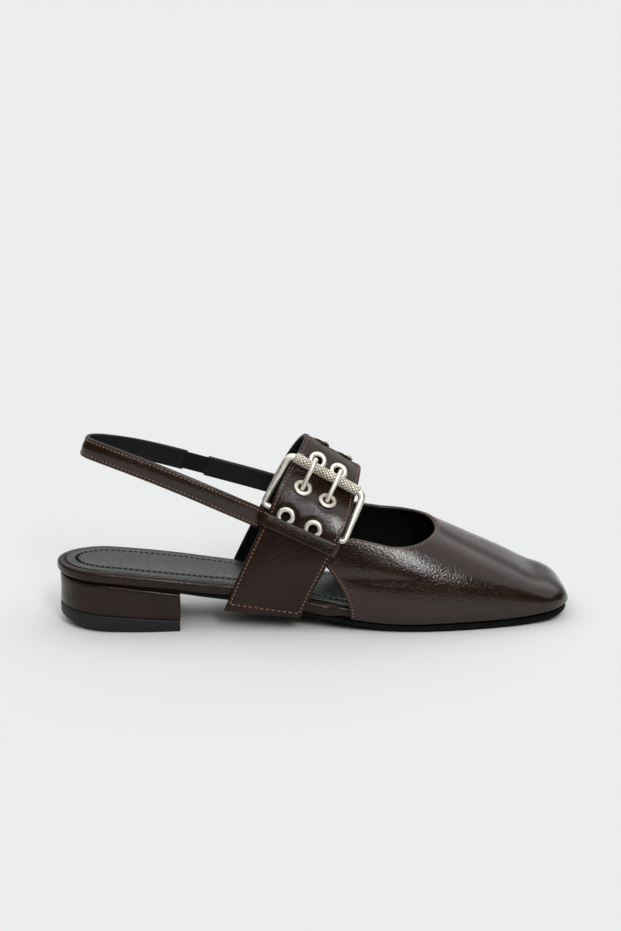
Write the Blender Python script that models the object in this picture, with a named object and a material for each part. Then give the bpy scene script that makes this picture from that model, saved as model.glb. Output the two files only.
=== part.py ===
"""Right-foot slingback ballet flat: squared toe, low block heel, wide instep strap with a two-prong buckle.

Every length in this script is in millimetres, and each mesh is scaled to metres as it is made.
X runs from heel to toe, +Y is the inner (medial) side of the foot, -Y the outer (lateral) side,
and the floor is Z = 0. Tables give places along the shoe as distances from the back of the heel.
"""

import math
from collections import namedtuple

import bmesh
import bpy
import numpy as np

MM = 0.001

# Driving sizes of the whole shoe
LENGTH = 250.0
GAP = 0.3
HEEL_ROUND = 27.0
TOE_CORNER = 13.0

# Sole pieces
LIFT_TOP_REAR = 10.2
LIFT_TOP_FRONT = 5.5
LIFT_REAR_RISE = 4.2
LIFT_RISE_LENGTH = 40.0
HEEL_INSET = 1.4
HEEL_BREAST = 58.8
BREAST_RAKE = 0.3
BAND_ROUND = 2.0
INSOLE_THICKNESS = 1.0
INSOLE_INSET = 4.0
INSOLE_IN_VAMP = 1.0
INSOLE_SUNK = 1.1
INSOLE_RISES = 108.0
INSOLE_LEVEL = 127.0
OUTSOLE_INSET = 1.2

# Upper
WALL = 2.0
FEATHER_TUCK = 1.0
TUCK_HEIGHT = 8.0
VAMP_REAR = 140.0
WING_REAR = 117.0
REAR_SWEEP_POWER = 1.9
VAMP_INSET = WALL + FEATHER_TUCK + GAP
INSET_STARTS = 127.0
INSET_ENDS = 137.0
TOE_INSET = 1.8
TOE_INSET_STARTS = 215.0
THROAT_FRONT = 184.5
THROAT_CENTRE = 160.0
THROAT_FULLNESS = 2.6
NOSE_FULLNESS = 2.4

# Instep strap, its side panel and keeper
STRAP_THICKNESS = 2.0
STRAP_EDGE = 0.5
PANEL_MARGIN = 0.5
KEEPER_WIDTH = 6.5
KEEPER_THICKNESS = 1.3
KEEPER_STANDOFF = 1.2

# Eyelets
EYELET_HOLE_RADIUS = 2.2
EYELET_RIM_RADIUS = 4.6
EYELET_RIM_HEIGHT = 0.9
EYELET_BARREL = 0.5
EYELET_SEAT = 0.25

# Buckle
FRAME_TOP_WIDTH = 40.3
FRAME_TOP_SHIFT = 0.15
FRAME_FOOT_WIDTH = 43.3
FRAME_FOOT_SHIFT = -1.15
FRAME_FOOT_UP = 2.6
FRAME_LENGTH = 25.0
FRAME_RADIUS = 1.45
FRAME_SHOULDER_RADIUS = 1.75
BAR_RADIUS = 2.55
FRAME_TOP_CORNER = 4.0
FRAME_FOOT_CORNER = 2.4
PRONG_RADIUS = 1.15
PRONG_PAST_BAR = 3.2

# Sling strap
SLING_WIDTH = 10.0
SLING_THICKNESS = 2.2
ELASTIC_WIDTH = 8.6
ELASTIC_THICKNESS = 1.4

# Plan of the last's bottom edge: half widths to each side of the shoe's axis
OutlineRow = namedtuple("OutlineRow", "from_heel lateral medial")
OUTLINE = [
    OutlineRow(27.0, 25.4, 21.8),
    OutlineRow(45.0, 26.6, 22.0),
    OutlineRow(65.0, 25.8, 22.2),
    OutlineRow(85.0, 23.8, 21.4),
    OutlineRow(105.0, 25.8, 21.2),
    OutlineRow(125.0, 29.3, 24.8),
    OutlineRow(145.0, 34.0, 30.8),
    OutlineRow(162.0, 37.2, 35.6),
    OutlineRow(176.0, 38.1, 37.9),
    OutlineRow(190.0, 37.6, 38.1),
    OutlineRow(205.0, 36.0, 37.0),
    OutlineRow(220.0, 33.4, 34.6),
    OutlineRow(235.0, 29.4, 31.0),
    OutlineRow(250.0, 24.6, 27.0),
]

# Heights and thicknesses of the sole along the shoe
SoleRow = namedtuple("SoleRow", "from_heel footbed_top footbed outsole")
SOLE = [
    SoleRow(0.0, 31.4, 5.0, 0.9),
    SoleRow(20.0, 30.7, 5.6, 1.0),
    SoleRow(40.0, 28.8, 5.7, 1.3),
    SoleRow(60.0, 26.1, 5.5, 1.9),
    SoleRow(72.0, 24.2, 5.9, 2.1),
    SoleRow(87.0, 22.0, 6.0, 2.6),
    SoleRow(125.0, 13.8, 6.1, 2.3),
    SoleRow(144.0, 10.6, 5.8, 2.6),
    SoleRow(160.0, 9.3, 5.8, 2.7),
    SoleRow(174.0, 8.9, 5.8, 2.9),
    SoleRow(184.0, 9.1, 5.8, 3.3),
    SoleRow(208.0, 9.1, 5.8, 3.3),
    SoleRow(226.0, 9.4, 5.8, 3.3),
    SoleRow(239.0, 10.6, 5.8, 3.3),
    SoleRow(250.0, 12.6, 5.8, 3.3),
]

# Crown line of the last above the floor, and how square its cross-section is
LastRow = namedtuple("LastRow", "from_heel crown fullness")
LAST = [
    LastRow(110.0, 80.0, 2.3),
    LastRow(130.0, 71.0, 2.3),
    LastRow(150.0, 62.0, 2.3),
    LastRow(170.0, 52.6, 2.5),
    LastRow(187.0, 43.6, 2.75),
    LastRow(206.0, 33.8, 3.2),
    LastRow(222.0, 25.9, 3.5),
    LastRow(237.0, 18.2, 3.6),
    LastRow(244.0, 16.7, 3.6),
    LastRow(250.0, 16.2, 3.6),
]

# How far the collar edge lies from the shoe's axis, behind the throat
ToplineRow = namedtuple("ToplineRow", "from_heel lateral medial")
TOPLINE = [
    ToplineRow(117.0, 25.2, 18.4),
    ToplineRow(140.0, 27.0, 20.8),
    ToplineRow(160.0, 29.3, 23.4),
]

# Rear and front edges of the strap loop, from its outer foot over the instep to its inner foot
StrapRow = namedtuple("StrapRow", "rear_x rear_y rear_z front_x front_y front_z")
STRAP = [
    StrapRow(80.0, -25.7, 10.2, 115.6, -29.7, 6.9),
    StrapRow(88.7, -25.1, 31.0, 122.1, -32.9, 22.2),
    StrapRow(98.8, -23.0, 51.3, 130.6, -34.6, 39.1),
    StrapRow(108.5, -17.1, 73.1, 140.8, -27.2, 56.7),
    StrapRow(117.8, -8.0, 85.5, 146.2, -10.5, 69.8),
    StrapRow(121.0, 1.0, 90.6, 148.2, 1.0, 73.0),
    StrapRow(116.5, 10.5, 83.5, 145.5, 12.5, 68.0),
    StrapRow(107.6, 17.0, 66.7, 136.5, 22.0, 53.0),
    StrapRow(100.2, 22.2, 48.0, 128.2, 28.6, 37.0),
    StrapRow(91.0, 23.8, 29.0, 120.7, 28.0, 22.0),
    StrapRow(82.5, 23.1, 11.0, 113.3, 25.6, 7.3),
]
KEEPER_ROW = 2

# Rows of two eyelets: distance up the strap from the keeper, place across, and spacing
EyeletRow = namedtuple("EyeletRow", "up sideways spacing")
EYELETS = [
    EyeletRow(1.8, -2.3, 14.4),
    EyeletRow(16.8, -1.1, 13.2),
    EyeletRow(34.0, -0.4, 11.4),
    EyeletRow(50.5, 0.4, 13.4),
]
PRONG_ROW = 1

# Centre line of the sling strap from the outer side panel round the heel to the inner side
SlingRow = namedtuple("SlingRow", "x y z")
SLING = [
    SlingRow(103.0, -17.0, 50.8),
    SlingRow(97.0, -18.9, 54.8),
    SlingRow(84.0, -20.8, 61.4),
    SlingRow(62.0, -19.2, 71.4),
    SlingRow(42.0, -15.2, 79.2),
    SlingRow(27.0, -10.4, 84.2),
    SlingRow(17.6, -5.4, 86.8),
    SlingRow(14.6, 0.0, 87.3),
    SlingRow(17.6, 5.4, 87.1),
    SlingRow(27.0, 10.4, 84.9),
    SlingRow(42.0, 15.2, 80.9),
    SlingRow(62.0, 18.6, 74.5),
    SlingRow(84.0, 19.0, 67.8),
    SlingRow(97.0, 17.2, 64.4),
    SlingRow(109.0, 14.4, 61.2),
]
SLING_PITCH = math.radians(20.4)
ELASTIC_REAR = 63.5
ELASTIC_FRONT = 73.5


def smooth_curve(places, values):
    """A function that runs smoothly through the given values and never overshoots them."""
    places = np.asarray(places, float)
    values = np.asarray(values, float)
    steps = np.diff(places)
    slopes = np.diff(values) / steps
    tangents = np.zeros(len(places))
    before, after = slopes[:-1], slopes[1:]
    same_way = before * after > 0
    tangents[1:-1][same_way] = (2 * before * after)[same_way] / (before + after)[same_way]
    tangents[0], tangents[-1] = slopes[0], slopes[-1]

    def at(place):
        place = np.clip(place, places[0], places[-1])
        i = np.clip(np.searchsorted(places, place) - 1, 0, len(steps) - 1)
        t = (place - places[i]) / steps[i]
        return (
            values[i] * (1 + 2 * t) * (1 - t) ** 2
            + tangents[i] * steps[i] * t * (1 - t) ** 2
            + values[i + 1] * t**2 * (3 - 2 * t)
            + tangents[i + 1] * steps[i] * t**2 * (t - 1)
        )

    return at


def along_shoe(table, column):
    """One column of a table as a smooth function of the distance from the heel."""
    return smooth_curve([row.from_heel for row in table], [getattr(row, column) for row in table])


def spline_through(points, per_step):
    """Points on a smooth curve through a few points in space, the same number between each two of them."""
    points = np.asarray(points, float)
    padded = np.vstack([2 * points[0] - points[1], points, 2 * points[-1] - points[-2]])
    fine = []
    for i in range(1, len(padded) - 2):
        a, b, c, d = padded[i - 1 : i + 3]
        t = np.linspace(0, 1, per_step, endpoint=False)[:, None]
        fine.append(
            0.5 * (2 * b + (c - a) * t + (2 * a - 5 * b + 4 * c - d) * t**2 + (3 * b - a - 3 * c + d) * t**3)
        )
    return np.vstack(fine + [points[-1:]])


def lengths_along(points):
    return np.concatenate([[0], np.cumsum(np.linalg.norm(np.diff(points, axis=0), axis=1))])


def spaced_evenly(points, count):
    lengths = lengths_along(points)
    wanted = np.linspace(0, lengths[-1], count)
    return np.column_stack([np.interp(wanted, lengths, points[:, k]) for k in range(points.shape[1])])


def unit(vectors):
    vectors = np.asarray(vectors, float)
    return vectors / np.linalg.norm(vectors, axis=-1, keepdims=True)


def smoothstep(low, high, value):
    t = np.clip((value - low) / (high - low), 0, 1)
    return t * t * (3 - 2 * t)


LATERAL_WIDTH = along_shoe(OUTLINE, "lateral")
MEDIAL_WIDTH = along_shoe(OUTLINE, "medial")
FOOTBED_TOP = along_shoe(SOLE, "footbed_top")
FOOTBED_THICKNESS = along_shoe(SOLE, "footbed")
OUTSOLE_THICKNESS = along_shoe(SOLE, "outsole")
CROWN = along_shoe(LAST, "crown")
FULLNESS = along_shoe(LAST, "fullness")


def outsole_top(x):
    return FOOTBED_TOP(x) - FOOTBED_THICKNESS(x)


def outsole_bottom(x):
    return outsole_top(x) - OUTSOLE_THICKNESS(x)


def half_width(x, width):
    """Half width of the last's bottom on one side, with the round heel and the squared toe's corners."""
    x = np.asarray(x, float)
    into_heel = np.clip((HEEL_ROUND - x) / HEEL_ROUND, 0, 1)
    into_corner = np.clip(x - (LENGTH - TOE_CORNER), 0, TOE_CORNER)
    corner = TOE_CORNER - np.sqrt(TOE_CORNER**2 - into_corner**2)
    return width(np.maximum(x, HEEL_ROUND)) * np.sqrt(1 - into_heel**2) - corner


def stations(first=0.0, last=LENGTH):
    """Places along the shoe, close together round the heel and at the toe's corners."""
    heel = HEEL_ROUND * (1 - np.cos(np.radians(np.linspace(8, 90, 9))))
    middle = np.linspace(HEEL_ROUND, LENGTH - TOE_CORNER, 24)[1:-1]
    toe = LENGTH - TOE_CORNER * (1 - np.cos(np.radians(np.linspace(90, 0, 6))))
    places = np.concatenate([heel, middle, toe])
    inside = places[(places > first) & (places < last - 1.0)]
    return np.append(inside, last)


def inset_loop(places, inset):
    """The bottom outline moved inwards: the outer side from heel to toe, then the inner side back."""
    sides = []
    for sign, width in ((-1, LATERAL_WIDTH), (1, MEDIAL_WIDTH)):
        edge = np.column_stack([places, sign * half_width(places, width)])
        along = unit(np.gradient(edge, axis=0))
        inward = sign * np.column_stack([along[:, 1], -along[:, 0]])
        amount = inset(places)[:, None] if callable(inset) else inset
        sides.append(edge + inward * amount)
    return np.vstack([sides[0], sides[1][::-1]])


def material(name, colour, roughness, metallic=0.0):
    made = bpy.data.materials.new(name)
    made.use_nodes = True
    shader = made.node_tree.nodes["Principled BSDF"]
    shader.inputs["Base Color"].default_value = (*colour, 1.0)
    shader.inputs["Roughness"].default_value = roughness
    shader.inputs["Metallic"].default_value = metallic
    return made


def add_object(name, points, faces, finish):
    """A named object from points in millimetres measured from the heel, with its faces turned outwards."""
    mesh = bpy.data.meshes.new(name)
    centred = np.asarray(points, float) - [LENGTH / 2, 0, 0]
    mesh.from_pydata((centred * MM).tolist(), [], faces)
    shell = bmesh.new()
    shell.from_mesh(mesh)
    bmesh.ops.recalc_face_normals(shell, faces=shell.faces)
    shell.to_mesh(mesh)
    shell.free()
    mesh.shade_smooth()
    mesh.set_sharp_from_angle(angle=math.radians(40))
    mesh.materials.append(finish)
    made = bpy.data.objects.new(name, mesh)
    bpy.context.scene.collection.objects.link(made)
    return made


def loft_faces(rings, per_ring, closed_rings=True, closed_path=False):
    """Quads between neighbouring rings of points."""
    faces = []
    for i in range(rings if closed_path else rings - 1):
        for k in range(per_ring if closed_rings else per_ring - 1):
            here, there = i * per_ring, (i + 1) % rings * per_ring
            after = (k + 1) % per_ring
            faces.append((here + k, here + after, there + after, there + k))
    return faces


def plate(name, levels, places, finish):
    """A plate with the shoe's outline: loops stacked from the bottom up, each with an inset and a height."""
    points = []
    for inset, height in levels:
        loop = inset_loop(places, inset)
        points.extend((x, y, height(x)) for x, y in loop)
    per_ring = 2 * len(places)
    faces = loft_faces(len(levels), per_ring)
    for first in (0, (len(levels) - 1) * per_ring):
        for i in range(len(places) - 1):
            faces.append((first + i, first + i + 1, first + per_ring - 2 - i, first + per_ring - 1 - i))
    return add_object(name, points, faces, finish)


def ribbon(name, centres, across, normals, width, thickness, finish):
    """A strap with softened edges, swept along centres; width and thickness may change along it."""
    count = len(centres)
    half = np.broadcast_to(np.asarray(width, float) / 2, count)
    deep = np.broadcast_to(np.asarray(thickness, float) / 2, count)
    soft = STRAP_EDGE
    points = []
    for centre, side, normal, w, d in zip(centres, across, normals, half, deep):
        section = [
            (-w, soft - d), (-w, d - soft), (soft - w, d), (w - soft, d),
            (w, d - soft), (w, soft - d), (w - soft, -d), (soft - w, -d),
        ]
        points.extend(centre + side * a + normal * b for a, b in section)
    faces = loft_faces(count, 8)
    faces.append(tuple(range(8)))
    faces.append(tuple(range((count - 1) * 8, count * 8)))
    return add_object(name, points, faces, finish)


def tube(name, path, radii, sides, finish, closed=False):
    """A round bar along a path, with a radius for each point and flat or pointed ends."""
    path = np.asarray(path, float)
    count = len(path)
    ahead = np.roll(path, -1, axis=0) - np.roll(path, 1, axis=0)
    if not closed:
        ahead = np.gradient(path, axis=0)
    ahead = unit(ahead)
    seed = np.eye(3)[np.argmin(np.abs(ahead[0]))]
    out = unit(np.cross(ahead[0], seed))
    points = []
    for centre, along, radius in zip(path, ahead, radii):
        out = unit(out - along * np.dot(out, along))
        other = np.cross(along, out)
        for k in range(sides):
            angle = 2 * math.pi * k / sides
            points.append(centre + radius * (out * math.cos(angle) + other * math.sin(angle)))
    faces = loft_faces(count, sides, closed_path=closed)
    if not closed:
        faces.append(tuple(range(sides)))
        faces.append(tuple(range((count - 1) * sides, count * sides)))
    return add_object(name, points, faces, finish)


def turned_ring(name, profile, centre, axis, across, segments, finish):
    """A closed profile of (radius, height) turned about an axis."""
    other = np.cross(axis, across)
    points = []
    for k in range(segments):
        angle = 2 * math.pi * k / segments
        out = across * math.cos(angle) + other * math.sin(angle)
        points.extend(centre + out * radius + axis * height for radius, height in profile)
    return add_object(name, points, loft_faces(segments, len(profile), closed_path=True), finish)


def build_sole(leather, sole_black, rubber, lining):
    """Outsole, wrapped footbed, insole, heel block and lift."""
    whole = stations()

    def footbed_inset(x):
        toe = TOE_INSET * smoothstep(TOE_INSET_STARTS, LENGTH, x)
        return VAMP_INSET * smoothstep(INSET_STARTS, INSET_ENDS, x) + toe

    def insole_inset(x):
        return np.maximum(INSOLE_INSET, footbed_inset(x) + INSOLE_IN_VAMP)

    def insole_seat(x):
        return FOOTBED_TOP(x) - INSOLE_SUNK * (1 - smoothstep(INSOLE_RISES, INSOLE_LEVEL, x))

    def rim_inset(x):
        return np.maximum(insole_inset(x) - GAP, footbed_inset(x) + BAND_ROUND + 0.4)

    def outsole_inset(x):
        behind_breast = 1 - smoothstep(HEEL_BREAST - 4, HEEL_BREAST + 4, x)
        return OUTSOLE_INSET + behind_breast * (HEEL_INSET - OUTSOLE_INSET)

    plate(
        "outsole",
        [
            (lambda x: outsole_inset(x) + 0.8, outsole_bottom),
            (outsole_inset, lambda x: outsole_bottom(x) + 0.4 * OUTSOLE_THICKNESS(x)),
            (outsole_inset, outsole_top),
        ],
        whole,
        sole_black,
    )
    plate(
        "footbed",
        [
            (lambda x: footbed_inset(x) + 1.0, lambda x: outsole_top(x) + GAP),
            (footbed_inset, lambda x: outsole_top(x) + 1.5),
            (footbed_inset, lambda x: FOOTBED_TOP(x) - BAND_ROUND),
            (lambda x: footbed_inset(x) + 0.3 * BAND_ROUND, lambda x: FOOTBED_TOP(x) - 0.3 * BAND_ROUND),
            (lambda x: footbed_inset(x) + BAND_ROUND, FOOTBED_TOP),
            (lambda x: rim_inset(x) - 0.2, FOOTBED_TOP),
            (rim_inset, insole_seat),
        ],
        whole,
        leather,
    )

    plate(
        "insole",
        [
            (insole_inset, lambda x: insole_seat(x) + GAP),
            (insole_inset, lambda x: insole_seat(x) + GAP + 0.6 * INSOLE_THICKNESS),
            (lambda x: insole_inset(x) + 0.8, lambda x: insole_seat(x) + GAP + INSOLE_THICKNESS),
        ],
        whole,
        lining,
    )

    heel_places = stations(last=HEEL_BREAST)

    def breast(places, rake):
        return np.append(places[:-1], places[-1] - rake)

    def lift_bottom(x):
        return LIFT_REAR_RISE * np.clip(1 - (x - HEEL_INSET) / LIFT_RISE_LENGTH, 0, 1) ** 2

    def lift_top(x):
        return LIFT_TOP_REAR + (LIFT_TOP_FRONT - LIFT_TOP_REAR) * x / HEEL_BREAST

    plate(
        "heel_block",
        [
            (HEEL_INSET - 0.2, lambda x: lift_top(x) + GAP),
            (HEEL_INSET, lambda x: outsole_bottom(x) - 2.0),
            (HEEL_INSET + 0.8, lambda x: outsole_bottom(x) - GAP),
        ],
        heel_places,
        leather,
    )
    plate(
        "heel_lift",
        [
            (HEEL_INSET + 0.5, lift_bottom),
            (HEEL_INSET - 0.3, lambda x: lift_bottom(x) + 1.2),
            (HEEL_INSET - 0.2, lift_top),
        ],
        breast(heel_places, BREAST_RAKE),
        rubber,
    )


def section_middle(x):
    return (half_width(x, MEDIAL_WIDTH) - half_width(x, LATERAL_WIDTH)) / 2


def section_half(x):
    return (half_width(x, MEDIAL_WIDTH) + half_width(x, LATERAL_WIDTH)) / 2


def crown_rise(x):
    """Height of the crown line over the sole, rounded down to the sole at the nose."""
    into_nose = np.clip(x - (LENGTH - TOE_CORNER), 0, TOE_CORNER) / TOE_CORNER
    return (CROWN(x) - outsole_top(x)) * (1 - into_nose**NOSE_FULLNESS) ** (1 / NOSE_FULLNESS)


def last_point(x, angle):
    """A point on the outside of the upper: angle 0 is the outer sole edge, pi the inner one."""
    power = 2 / FULLNESS(x)
    rise = crown_rise(x) * np.abs(np.sin(angle)) ** power
    spread = np.sign(np.cos(angle)) * np.abs(np.cos(angle)) ** power
    tuck = FEATHER_TUCK * np.clip(1 - rise / TUCK_HEIGHT, 0, 1) ** 2
    half = np.maximum(section_half(x) - tuck, 0)
    return np.stack([x, section_middle(x) - half * spread, outsole_top(x) + GAP + rise], axis=-1)


def angle_at(x, across):
    """The angle where the last's section at x is this far across from the shoe's axis."""
    offset = across - section_middle(x)
    share = np.clip(np.abs(offset) / section_half(x), 0, 1)
    angle = np.arccos(share ** (FULLNESS(x) / 2))
    return np.where(offset > 0, math.pi - angle, angle)


def from_nose(x):
    """Distance back from the toe in a measure that follows the round nose; nose_place undoes it."""
    back = LENGTH - np.asarray(x, float)
    round_part = np.arccos(np.clip(1 - back / TOE_CORNER, 0, 1)) * 2 / math.pi
    return np.where(back < TOE_CORNER, round_part, 1 + (back - TOE_CORNER) / (TOE_CORNER * math.pi / 2))


def nose_place(measure):
    round_part = TOE_CORNER * (1 - np.cos(np.clip(measure, 0, 1) * math.pi / 2))
    return LENGTH - round_part - np.maximum(measure - 1, 0) * TOE_CORNER * math.pi / 2


def evenly(path, count):
    """Points of a path in (from_nose, angle), spaced evenly along the upper's surface."""
    lengths = lengths_along(last_point(nose_place(path[:, 0]), path[:, 1]))
    wanted = np.linspace(0, lengths[-1], count)
    return np.column_stack([np.interp(wanted, lengths, path[:, k]) for k in range(2)])


def sole_edge_path():
    """The upper's bottom edge from its outer rear corner round the toe to its inner rear corner."""
    back = np.linspace(float(from_nose(VAMP_REAR)), 0, 80)
    turn = np.linspace(0, math.pi, 60)
    outer = np.column_stack([back, np.zeros(80)])
    front = np.column_stack([np.zeros(60), turn])
    inner = np.column_stack([back[::-1], np.full(80, math.pi)])
    return np.vstack([outer, front[1:-1], inner])


def topline_path():
    """The collar edge: long wings on both sides and a round throat."""
    wing = np.linspace(WING_REAR, THROAT_CENTRE, 40)[:-1]
    sweep = np.radians(np.linspace(0, 90, 41))
    throat = THROAT_CENTRE + (THROAT_FRONT - THROAT_CENTRE) * np.sin(sweep) ** (2 / THROAT_FULLNESS)
    sides = []
    for sign, column in ((-1, "lateral"), (1, "medial")):
        reach = along_shoe(TOPLINE, column)
        end = section_middle(THROAT_FRONT)
        across = end + (sign * reach(THROAT_CENTRE) - end) * np.cos(sweep) ** (2 / THROAT_FULLNESS)
        x = np.concatenate([wing, throat])
        y = np.concatenate([sign * reach(wing), across])
        sides.append(np.column_stack([from_nose(x), angle_at(x, y)]))
    return np.vstack([sides[0], sides[1][-2::-1]])


def build_upper(leather):
    """The hollow forepart: a grid from the sole edge up to the collar, with an inner face a wall further in."""
    columns, rows = 61, 13
    low = evenly(sole_edge_path(), columns)
    high = evenly(topline_path(), columns)
    share = np.linspace(0, 1, rows)
    swept = share**REAR_SWEEP_POWER
    to_rear = smoothstep(0.55, 1.0, np.abs(np.linspace(-1, 1, columns)))
    outer = np.empty((columns, rows, 3))
    for i in range(columns):
        measure = low[i, 0] + (high[i, 0] - low[i, 0]) * (share + (swept - share) * to_rear[i])
        angle = low[i, 1] + (high[i, 1] - low[i, 1]) * share
        outer[i] = last_point(nose_place(measure), angle)
    normals = unit(np.cross(np.gradient(outer, axis=0), np.gradient(outer, axis=1)))
    inner = outer - normals * WALL
    inner[:, 0, 2] = outer[:, 0, 2]
    count = columns * rows
    points = np.vstack([outer.reshape(-1, 3), inner.reshape(-1, 3)])
    faces = []
    for i in range(columns - 1):
        for k in range(rows - 1):
            a, b = i * rows + k, (i + 1) * rows + k
            faces.append((a, b, b + 1, a + 1))
            faces.append((count + a, count + a + 1, count + b + 1, count + b))
    border = [i * rows for i in range(columns)]
    border += [(columns - 1) * rows + k for k in range(1, rows)]
    border += [i * rows + rows - 1 for i in reversed(range(columns - 1))]
    border += [k for k in reversed(range(1, rows - 1))]
    for a, b in zip(border, border[1:] + border[:1]):
        faces.append((a, b, count + b, count + a))
    return add_object("upper_vamp", points, faces, leather)


class StrapSurface:
    """The ruled surface of the strap loop, addressed by length along its middle and distance across."""

    def __init__(self, per_step=24):
        self.rear = spline_through([row[:3] for row in STRAP], per_step)
        self.front = spline_through([row[3:] for row in STRAP], per_step)
        self.length = lengths_along((self.rear + self.front) / 2)
        self.keeper = self.length[KEEPER_ROW * per_step]

    def edges(self, along):
        rear, front = (
            np.array([np.interp(along, self.length, edge[:, k]) for k in range(3)])
            for edge in (self.rear, self.front)
        )
        return rear, front

    def place(self, along, sideways):
        rear, front = self.edges(along)
        across = unit(front - rear)
        return (rear + front) / 2 + across * sideways, across

    def frame(self, along, sideways=0.0):
        """A point of the surface, the direction across towards the toe, and the outward normal."""
        step = 1.0
        here, across = self.place(along, sideways)
        ahead = self.place(along + step, sideways)[0] - self.place(along - step, sideways)[0]
        return here, across, unit(np.cross(across, ahead))

    def width(self, along):
        rear, front = self.edges(along)
        return np.linalg.norm(front - rear)

    def point(self, along, sideways, outwards):
        here, _, outward = self.frame(along, sideways)
        return here + outward * outwards


def strap_ribbon(name, surface, first, last, count, margin, finish):
    """A length of the strap surface made solid; margin widens it at both edges."""
    places = np.linspace(first, last, count)
    centres, across, normals = zip(*(surface.frame(along) for along in places))
    width = [surface.width(along) + 2 * margin for along in places]
    return ribbon(name, centres, across, normals, width, STRAP_THICKNESS, finish)


def eyelet_places(surface):
    """(along, sideways) of every eyelet, row by row from the keeper."""
    for row in EYELETS:
        for side in (-0.5, 0.5):
            yield surface.keeper + KEEPER_WIDTH + row.up, row.sideways + side * row.spacing


def build_eyelets(surface, metal):
    """Metal eyelets, and the cutter for their holes in the strap."""
    surface_height = STRAP_THICKNESS / 2
    seat = surface_height + EYELET_SEAT
    rim = EYELET_RIM_RADIUS
    hole = EYELET_HOLE_RADIUS
    barrel = hole + EYELET_BARREL
    top = seat + EYELET_RIM_HEIGHT
    profile = [
        (hole, -surface_height),
        (barrel, -surface_height),
        (barrel, seat),
        (rim, seat),
        (rim - 0.3, seat + 0.6 * EYELET_RIM_HEIGHT),
        ((rim + hole) / 2, top),
        (hole + 0.3, seat + 0.7 * EYELET_RIM_HEIGHT),
    ]
    cutter_points, cutter_faces = [], []
    sides = 14
    for number, (along, sideways) in enumerate(eyelet_places(surface), 1):
        centre, across, outward = surface.frame(along, sideways)
        turned_ring(f"eyelet_{number}", profile, centre, outward, across, sides, metal)
        other = np.cross(outward, across)
        start = len(cutter_points)
        for height in (-3 * surface_height, 3 * surface_height):
            for k in range(sides):
                angle = 2 * math.pi * k / sides
                out = across * math.cos(angle) + other * math.sin(angle)
                cutter_points.append(centre + out * (barrel + GAP) + outward * height)
        cutter_faces += [tuple(start + i for i in face) for face in loft_faces(2, sides)]
        cutter_faces.append(tuple(range(start, start + sides)))
        cutter_faces.append(tuple(range(start + sides, start + 2 * sides)))
    cutter = add_object("eyelet_holes", cutter_points, cutter_faces, metal)
    cutter.hide_render = True
    cutter.display_type = "WIRE"
    return cutter


def build_strap(surface, leather, metal):
    """Side panel, instep strap with its eyelet holes, and the keeper band over their joint."""
    joint = surface.keeper + KEEPER_WIDTH / 2
    strap_ribbon("strap_panel", surface, 0, joint - GAP, 14, PANEL_MARGIN, leather)
    strap = strap_ribbon("instep_strap", surface, joint, surface.length[-1], 44, 0, leather)
    cut = strap.modifiers.new("eyelet_holes", "BOOLEAN")
    cut.object = build_eyelets(surface, metal)
    cut.operation = "DIFFERENCE"
    cut.solver = "EXACT"
    build_keeper(surface, leather)


def build_keeper(surface, leather):
    """A narrow band across the panel's top, turned in over both edges of the panel."""
    along = surface.keeper + KEEPER_WIDTH / 2
    middle, across, outward = surface.frame(along)
    up = np.cross(outward, across)
    reach = surface.width(along) / 2 + PANEL_MARGIN + GAP + KEEPER_THICKNESS / 2
    height = STRAP_THICKNESS / 2 + KEEPER_STANDOFF + KEEPER_THICKNESS / 2
    low = -STRAP_THICKNESS / 2
    turn = 1.6
    path = [(-reach, low), (-reach, height - turn), (turn * 0.3 - reach, height - turn * 0.3), (turn - reach, height)]
    path += [(share * (reach - turn), height + 0.3 * (1 - abs(share))) for share in np.linspace(-0.8, 0.8, 7)]
    path += [(-side, level) for side, level in reversed(path[:4])]
    path = np.array(path)
    heading = unit(np.gradient(path, axis=0))
    centres = [middle + across * a + outward * b for a, b in path]
    normals = [outward * h[0] - across * h[1] for h in heading]
    ribbon("strap_keeper", centres, [up] * len(path), normals, KEEPER_WIDTH, KEEPER_THICKNESS, leather)


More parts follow.
